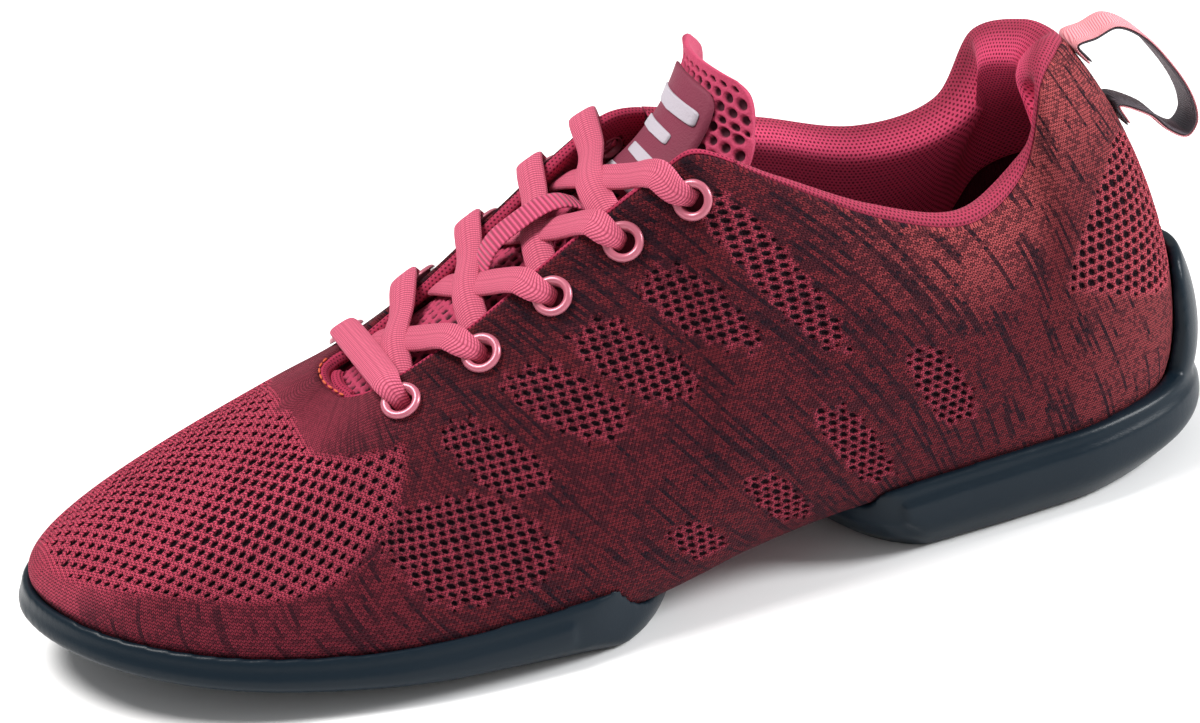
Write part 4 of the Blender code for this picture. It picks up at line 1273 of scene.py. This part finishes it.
def tongue_point(t, side, depth=0.0):
    """Point on the tongue: t runs up its rows, side from -1 to 1, depth into it."""
    t, side, depth = np.broadcast_arrays(*(np.asarray(a, dtype=float) for a in (t, side, depth)))
    top = len(TONGUE) - 1.0
    direction = unit(tongue_middle(np.minimum(t + 0.05, top)) - tongue_middle(np.maximum(t - 0.05, 0.0)))
    inward = unit(points_of(direction[..., 2], 0.0, -direction[..., 0]))
    half_width = through(TONGUE, "half", t) * half_ball
    fall = through(TONGUE, "fall", t) * collar_height
    slope = np.arctan2(2 * fall * side, half_width)
    tilt = points_of(0.0, np.sin(slope), 0.0) - inward * np.cos(slope)[..., None]
    edge = (tongue_middle(t) + points_of(0.0, half_width * side, 0.0)
            + inward * (fall * side**2)[..., None])
    return edge - tilt * depth[..., None]


tongue_steps = 290
tongue_lanes = 110
t_rows = np.linspace(0.0, len(TONGUE) - 1.0, tongue_steps + 1)
s_lanes = np.linspace(-1.0, 1.0, tongue_lanes + 1)
edge_share = 1 - 0.55 * np.abs(s_lanes) ** 6
top_thin = np.interp(t_rows, [len(TONGUE) - 1.6, len(TONGUE) - 1.0], [1.0, 0.45])
middle_run = walked_along(tongue_point(t_rows, 0.0)) * 1000
cell_a = s_lanes[None, :] * (through(TONGUE, "half", t_rows) * half_ball)[:, None] * 1000
cell_b = np.broadcast_to(middle_run[:, None], cell_a.shape)
side_fade = soft_step(1 - np.abs(s_lanes), 0.01, 0.05)
top_fade = soft_step(middle_run[-1] - middle_run, 1.0, 2.4)
rim_fade = side_fade[None, :] * top_fade[:, None]
dimple = net_depth(cell_a, cell_b, *cell_pitch, *cell_size, rim_fade)
tongue_top = tongue_point(t_rows[:, None], s_lanes[None, :],
                          tongue_wall * (1 - edge_share)[None, :] / 2 + dimple * cell_depth)
back_lanes = np.linspace(1.0, -1.0, 25)
back_edge = 1 - 0.55 * np.abs(back_lanes) ** 6
tongue_under = tongue_point(t_rows[:, None], back_lanes[None, :],
                            tongue_wall * (1 - back_edge)[None, :] / 2
                            + tongue_wall * top_thin[:, None] * back_edge[None, :])
tongue_rings = np.concatenate([tongue_top, tongue_under], axis=1)

net, tree, shader = finish_named("tongue_net", 0.75, sheen=0.08, specular=0.25)
net_a, net_b = flat_place(tree, "cells")
net_share = stored(tree, "cell_zone")
cells = net_holes(tree, net_a, net_b, *cell_pitch, *cell_size, net_share)
thread = fine_grain(tree, 2400.0, 2.0, 0.5)
pink = tint(tree, thread, (0.32, 0.022, 0.065), (0.52, 0.062, 0.135))
# Painted shade: the open cells are coloured near black, for the shade beneath the net.
coloured(tree, shader, cells, pink, (0.045, 0.003, 0.012))
relief(tree, shader, minus(tree, times(tree, thread, 0.25), cells), 0.0006, 0.7)
points, faces = capped(tongue_rings)
tongue_piece = add_piece("tongue_net", points, faces, net)
filler = np.zeros(tongue_under.shape[:2])
lay_out(tongue_piece, "cells", np.concatenate([cell_a, filler], axis=1),
        np.concatenate([cell_b, filler], axis=1))
keep(tongue_piece, "cell_zone", np.concatenate([rim_fade, filler], axis=1))
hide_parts("tongue")


# Badge: a soft crimson patch sewn to the upper half of the tongue, with four plain pale
# bars of soft rubber raised on it.
badge_thickness = 0.0012
badge_width = 0.023
badge_length = 0.030
badge_foot = 5.5
Bar = namedtuple("Bar", "start end left right")
BARS = [
    Bar(.08, .17, -.34, .34),
    Bar(.29, .38, -.38, .22),
    Bar(.50, .59, -.24, .38),
    Bar(.71, .83, -.40, .40),
]
climb = np.linspace(badge_foot, len(TONGUE) - 1.0, 400)
climbed = walked_along(tongue_point(climb, 0.0))
badge_head = float(np.interp(badge_length, climbed, climb))


def patch_on_tongue(first, last, left, right, low, high, squareness):
    """Closed rounded patch between two rows and two sides (in metres), raised off the tongue."""
    rings = []
    for share in np.linspace(0.0, 1.0, 25):
        t = first + (last - first) * share
        half_width = float(through(TONGUE, "half", t)) * half_ball
        shrink = (1 - abs(2 * share - 1) ** squareness) ** (1 / squareness) if 0 < share < 1 else 0.02
        middle = (left + right) / 2
        reach = (right - left) / 2 * shrink
        lanes = np.linspace(-1.0, 1.0, 17)
        sides = (middle + reach * lanes) / half_width
        crown = high - (high - low) * 0.35 * np.abs(lanes) ** 6
        under = tongue_point(t, sides, -low)
        over = tongue_point(t, sides, -crown)
        rings.append(np.concatenate([under, over[::-1]]))
    return capped(rings)


patch, tree, shader = finish_named("patch_base", 0.7, sheen=0.15)
shader.inputs["Base Color"].default_value = (0.17, 0.018, 0.045, 1.0)
relief(tree, shader, fine_grain(tree, 2200.0, 2.0, 0.5), 0.0002, 0.6)
pale, tree, shader = finish_named("patch_bars", 0.55)
shader.inputs["Base Color"].default_value = (0.44, 0.40, 0.45, 1.0)
relief(tree, shader, fine_grain(tree, 1500.0, 2.0, 0.5), 0.0002, 0.5)
badge_lift = 1.5 * gap
points, faces = patch_on_tongue(badge_foot, badge_head, -badge_width / 2, badge_width / 2,
                                badge_lift, badge_lift + badge_thickness * 0.6, 5)
badge_piece = add_piece("badge_base", points, faces, patch)
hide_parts("tongue_badge")
for number, row in enumerate(BARS):
    first = float(np.interp(badge_length * row.start, climbed, climb))
    last = float(np.interp(badge_length * row.end, climbed, climb))
    points, faces = patch_on_tongue(first, last, row.left * badge_width, row.right * badge_width,
                                    badge_lift + badge_thickness * 0.5, badge_lift + badge_thickness, 7)
    bar = add_piece(f"badge_bar_{number + 1}", points, faces, pale)
    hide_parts("tongue_badge")


# Eyelets: pressed metal rings in satin pink enamel, five on each side of the throat,
# clenched through the knit and the facing.
eyelet_wall = 0.0004
eyelet_rim = 0.0009
enamel, tree, shader = finish_named("eyelet_enamel", 0.32, coat=0.3, specular=0.5)
shader.inputs["Base Color"].default_value = (0.45, 0.115, 0.165, 1.0)
shader.inputs["Metallic"].default_value = 0.25
relief(tree, shader, fine_grain(tree, 900.0, 2.0, 0.5), 0.0001, 0.3)
barrel = eyelet_bore + eyelet_wall
eyelet_depth = -(knit_wall + 2 * gap + lining_wall)
eyelet_seat = 2 * gap
profile = [(eyelet_bore, eyelet_depth), (eyelet_bore, eyelet_seat)]
crown_radius = (eyelet_radius - eyelet_bore) / 2
for angle in np.linspace(math.pi, 0.0, 11):
    profile.append((eyelet_bore + crown_radius * (1 + math.cos(angle)),
                    eyelet_seat + eyelet_rim * math.sin(angle)))
profile += [(barrel + 0.0001, eyelet_seat), (barrel, eyelet_depth)]
eyelet_names = [f"eyelet_outer_{n}" for n in range(1, 6)] + [f"eyelet_inner_{n}" for n in range(1, 6)]
for name, centre, axis in zip(eyelet_names, eyelet_centres, eyelet_axes):
    level_way = unit(np.cross(axis, (0.0, 0.0, 1.0)))
    other_way = np.cross(axis, level_way)
    rings = []
    for angle in np.linspace(0.0, 2 * math.pi, 49)[:-1]:
        spoke = level_way * math.cos(angle) + other_way * math.sin(angle)
        rings.append([centre + spoke * radius + axis * height for radius, height in profile])
    rings = np.array(rings)
    faces = grid_faces(len(rings) + 1, len(profile), wrap=True) % (len(rings) * len(profile))
    ring_piece = add_piece("ring_" + name[7:], rings, faces, enamel)
    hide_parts(name)


# Lace: one flat woven band of salmon pink. It lies across the first pair of eyelets, then
# crosses from side to side: each run comes up from under the throat's edge, over the
# tongue and the other edge, and dives into the next eyelet. Both ends stay in the top pair.
lace_width = 0.0066
lace_thickness = 0.0018
lace_lift = 0.0006
lace_clear = 2 * gap + lace_thickness / 2
lace_slant = 0.0045
lace_emerges = 0.16
lace_hidden = 0.0034
lace_rib = 0.66
lace_strand = 0.62
lace_chevron = 0.45


def smooth_route(points, parts):
    """The smooth curve through route points of any width, each leg in equal parts."""
    points = np.asarray(points, dtype=float)
    knots = walked_along(points[:, :3])
    legs = [np.linspace(a, b, parts + 1)[:-1] for a, b in zip(knots, knots[1:])]
    at = np.concatenate(legs + [knots[-1:]])
    return np.stack([curve_through(knots, points[:, k], at) for k in range(points.shape[1])], axis=-1)


def band(path, hints, widths, depths, sides=24, square=0.62):
    """Rings of a flat band with soft edges along a path, faced the way of its hints."""
    run = unit(np.gradient(path, axis=0))
    wide = unit(np.cross(run, hints))
    face = unit(np.cross(wide, run))
    angle = 2 * np.pi * (np.arange(sides) + 0.5) / sides
    a = np.sign(np.cos(angle)) * np.abs(np.cos(angle)) ** square
    b = np.sign(np.sin(angle)) * np.abs(np.sin(angle)) ** 0.85
    return (path[:, None, :] + wide[:, None, :] * (a[None, :] * widths[:, None] / 2)[..., None]
            + face[:, None, :] * (b[None, :] * depths[:, None] / 2)[..., None])


def tongue_at(x, y):
    """Point and outward direction on the tongue above a place in plan."""
    low = 0.0
    high = len(TONGUE) - 1.0
    for _ in range(28):
        t = (low + high) / 2
        side = max(-1.0, min(1.0, y / (float(through(TONGUE, "half", t)) * half_ball)))
        if tongue_point(t, side)[0] < x:
            low = t
        else:
            high = t
    here = tongue_point(t, side)
    return here, unit(here - tongue_point(t, side, tongue_wall))


def over_edge(n, outer_side, lift, slant):
    """Route over the throat's edge, slanting back to an eyelet's rim and down through it."""
    table = EYELETS_OUTER if outer_side else EYELETS_INNER
    k = n if outer_side else n + 5
    axis = eyelet_axes[k]
    centre = eyelet_centres[k]
    edge_u, _ = eyelet_place(table[n][0] - slant / shoe_length, 0.0, outer_side)
    top = from_top(edge_u, binding_reach * 0.8, 0.0) + axis * (lift + gap * 2)
    travel = centre - from_top(edge_u, 0.0, 0.0)
    travel = unit(travel - axis * (travel @ axis))
    points = [top, centre - travel * 0.0037 + axis * 0.0024, centre - travel * 0.0012 + axis * 0.0002,
              centre - travel * 0.0006 - axis * lace_hidden]
    hints = [axis + np.array((0.0, 0.0, 0.5)), axis + travel * 0.15, travel + axis * 0.7, travel]
    widths = [lace_width, lace_width * 0.86, 0.0042, 0.0038]
    depths = [lace_thickness, lace_thickness, 0.0018, 0.0020]
    return points, hints, widths, depths


def hidden_start(n, outer_side):
    """Route under the facing, from below an eyelet."""
    k = n if outer_side else n + 5
    centre = eyelet_centres[k]
    axis = eyelet_axes[k]
    return centre - axis * lace_hidden, axis


def inside_throat(n, outer_side, over):
    """Place on the tongue just inside the throat's edge, between two eyelets."""
    table = EYELETS_OUTER if outer_side else EYELETS_INNER
    place = table[n][0] + (table[n + 1][0] - table[n][0]) * lace_emerges
    u, _ = eyelet_place(place, 0.0, outer_side)
    edge = from_top(u, facing_width * 0.42, 0.0)
    edge[1] -= (-over if outer_side else over)
    base, normal = tongue_at(edge[0], edge[1])
    return base + normal * (lace_thickness / 2 + lace_lift + over), normal


lace, tree, shader = finish_named("lace", 0.72, sheen=0.1, specular=0.3)
run, width = flat_place(tree, "weave")
chevron = plus(tree, run, times(tree, calc(tree, "ABSOLUTE", width), lace_chevron))
rib = ridge(tree, divided(tree, chevron, lace_rib))
strand_line = ridge(tree, divided(tree, width, lace_strand))
weave_height = times(tree, ramp(tree, rib, 0.5, 0.12), ramp(tree, strand_line, 0.5, 0.2, 0.55, 1.0))
# Painted shade: the weave's grooves are coloured darker than its ribs.
coloured(tree, shader, weave_height, (0.28, 0.032, 0.070), (0.68, 0.125, 0.210))
relief(tree, shader, weave_height, 0.00018, 0.7)


def add_lace(name, node, route, hints, widths, depths):
    """One run of the lace through its route points."""
    route = np.asarray(route)
    sizes = np.stack([widths, depths], axis=-1)
    path = smooth_route(np.concatenate([route, np.asarray(hints), sizes], axis=1), 14)
    rings = band(path[:, :3], unit(path[:, 3:6]), path[:, 6], path[:, 7])
    points, faces = capped(rings)
    piece = add_piece(name, points, faces, lace)
    run = walked_along(path[:, :3]) * 1000
    angle = 2 * np.pi * (np.arange(rings.shape[1]) + 0.5) / rings.shape[1]
    across_band = np.cos(angle)[None, :] * path[:, 6:7] * 500
    lay_out(piece, "weave", np.broadcast_to(run[:, None], across_band.shape), across_band)
    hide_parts(node)


def strand(name, node, n, from_outer, over):
    """Run from under one edge, over the tongue and the other edge, into eyelet n."""
    start, start_hint = inside_throat(n - 1, from_outer, over)
    below, below_hint = hidden_start(n - 1, from_outer)
    edge, hints, widths, depths = over_edge(n, not from_outer, lace_clear, lace_slant)
    route = [below, start]
    faces_up = [below_hint, start_hint]
    for share in (0.35, 0.68):
        point = start * (1 - share) + edge[0] * share
        base, normal = tongue_at(point[0], point[1])
        resting = base + normal * (lace_thickness / 2 + lace_lift + over)
        route.append(point if (point - base) @ normal > (resting - base) @ normal else resting)
        faces_up.append(normal)
    add_lace(name, node, route + edge, faces_up + hints,
             [0.0045, lace_width, lace_width, lace_width] + widths,
             [0.0014, lace_thickness, lace_thickness, lace_thickness] + depths)


bar_slant = 0.0012
left = over_edge(0, True, lace_clear + gap, bar_slant)
right = over_edge(0, False, lace_clear + gap, bar_slant)
add_lace("lace_bar", "lace_bar_1", *(list(reversed(a)) + list(b) for a, b in zip(left, right)))
for n in range(1, 5):
    over = badge_thickness + 3 * gap if n == 4 else 0.0
    strand(f"lace_under_{n + 1}", f"lace_cross_{n + 1}", n, False, over)
    strand(f"lace_over_{n + 1}", f"lace_cross_{n + 1}", n, True, over + lace_thickness * 0.8)


# Keeper: a short loop of ribbed webbing sewn to the tongue, which holds the lace's
# fourth crossing.
keeper_width = 0.0080
keeper_wall = 0.0010
keeper_rows = (3.80, 3.89, 4.16, 4.50, 4.80, 5.00, 5.12)
keeper_lifts = (0.0, 0.30, 1.05, 1.20, 1.10, 0.72, 0.15)
keeper_crown = lace_lift + 2.1 * lace_thickness + gap
keeper_rib = 1.05
webbing, tree, shader = finish_named("webbing", 0.7, sheen=0.25)
run, width = flat_place(tree, "weave")
rib_height = ramp(tree, ridge(tree, divided(tree, run, keeper_rib)), 0.5, 0.1)
# Painted shade: the webbing's grooves are coloured darker than its ribs.
coloured(tree, shader, rib_height, (0.28, 0.018, 0.060), (0.60, 0.065, 0.155))
relief(tree, shader, rib_height, 0.0004, 0.9)
keeper_route = [tongue_point(t, 0.0, -gap - keeper_wall / 2 - share * keeper_crown)
                for t, share in zip(keeper_rows, keeper_lifts)]
keeper_path = smooth_route(keeper_route, 16)
rings = band(keeper_path, np.tile(unit(np.array([-0.6, 0.0, 0.8])), (len(keeper_path), 1)),
             np.full(len(keeper_path), keeper_width), np.full(len(keeper_path), keeper_wall))
points, faces = capped(rings)
keeper_piece = add_piece("lace_keeper_tape", points, faces, webbing)
run = walked_along(keeper_path) * 1000
lay_out(keeper_piece, "weave", np.broadcast_to(run[:, None], rings.shape[:2]), np.zeros(rings.shape[:2]))
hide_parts("lace_keeper")


# Pull loop: a folded ribbon sewn under the collar's roll at the back, salmon pink on the
# outside and charcoal on the inside.
loop_width = 0.0095
loop_wall = 0.0011
Bend = namedtuple("Bend", "place height")
PULL_LOOP = [
    Bend(.925, .996),
    Bend(.944, 1.010),
    Bend(.965, .975),
    Bend(.985, .905),
    Bend(1.003, .815),
    Bend(1.008, .745),
    Bend(.999, .712),
    Bend(.984, .735),
    Bend(.968, .782),
]
loop_off = -gap - loop_wall / 2
loop_route = [shell(0.0, below_top(0.0, d), loop_off) for d in (0.006, 0.001)]
loop_route += [points_of((row.place - 0.5) * shoe_length, 0.0, row.height * collar_height)
               for row in PULL_LOOP]
loop_route += [shell(0.0, below_top(0.0, d), loop_off) for d in (0.0185, 0.0235)]
loop_path = smooth_route(loop_route, 16)
loop_run = walked_along(loop_path) * 1000
loop_way = unit(np.gradient(loop_path, axis=0))
loop_face = points_of(-loop_way[:, 2], 0.0, loop_way[:, 0])
twill_pitch = (0.55, 0.9)
loop_sides = 24
Ribbon = namedtuple("Ribbon", "name offset dark light")
RIBBONS = [
    Ribbon("loop_ribbon_outside", 0.25, (0.50, 0.13, 0.16), (0.80, 0.33, 0.36)),
    Ribbon("loop_ribbon_inside", -0.25, (0.022, 0.022, 0.028), (0.060, 0.060, 0.072)),
]
for row in RIBBONS:
    ribbon, tree, shader = finish_named(row.name, 0.62, sheen=0.2)
    run, width = flat_place(tree, "weave")
    twill = plus(tree, divided(tree, run, twill_pitch[0]), divided(tree, width, twill_pitch[1]))
    rib_height = ramp(tree, ridge(tree, twill), 0.5, 0.1)
    # Painted shade: the twill's grooves take each ribbon's dark tone, its ribs the light one.
    coloured(tree, shader, rib_height, row.dark, row.light)
    relief(tree, shader, rib_height, 0.0002, 0.7)
    path = loop_path + loop_face * loop_wall * row.offset
    rings = band(path, loop_face, np.full(len(path), loop_width), np.full(len(path), loop_wall / 2),
                 loop_sides, 0.3)
    points, faces = capped(rings)
    ribbon_piece = add_piece(row.name, points, faces, ribbon)
    angle = 2 * np.pi * (np.arange(loop_sides) + 0.5) / loop_sides
    lay_out(ribbon_piece, "weave", np.broadcast_to(loop_run[:, None], rings.shape[:2]),
            np.broadcast_to(np.cos(angle) * loop_width * 500, rings.shape[:2]))
    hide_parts("pull_loop")
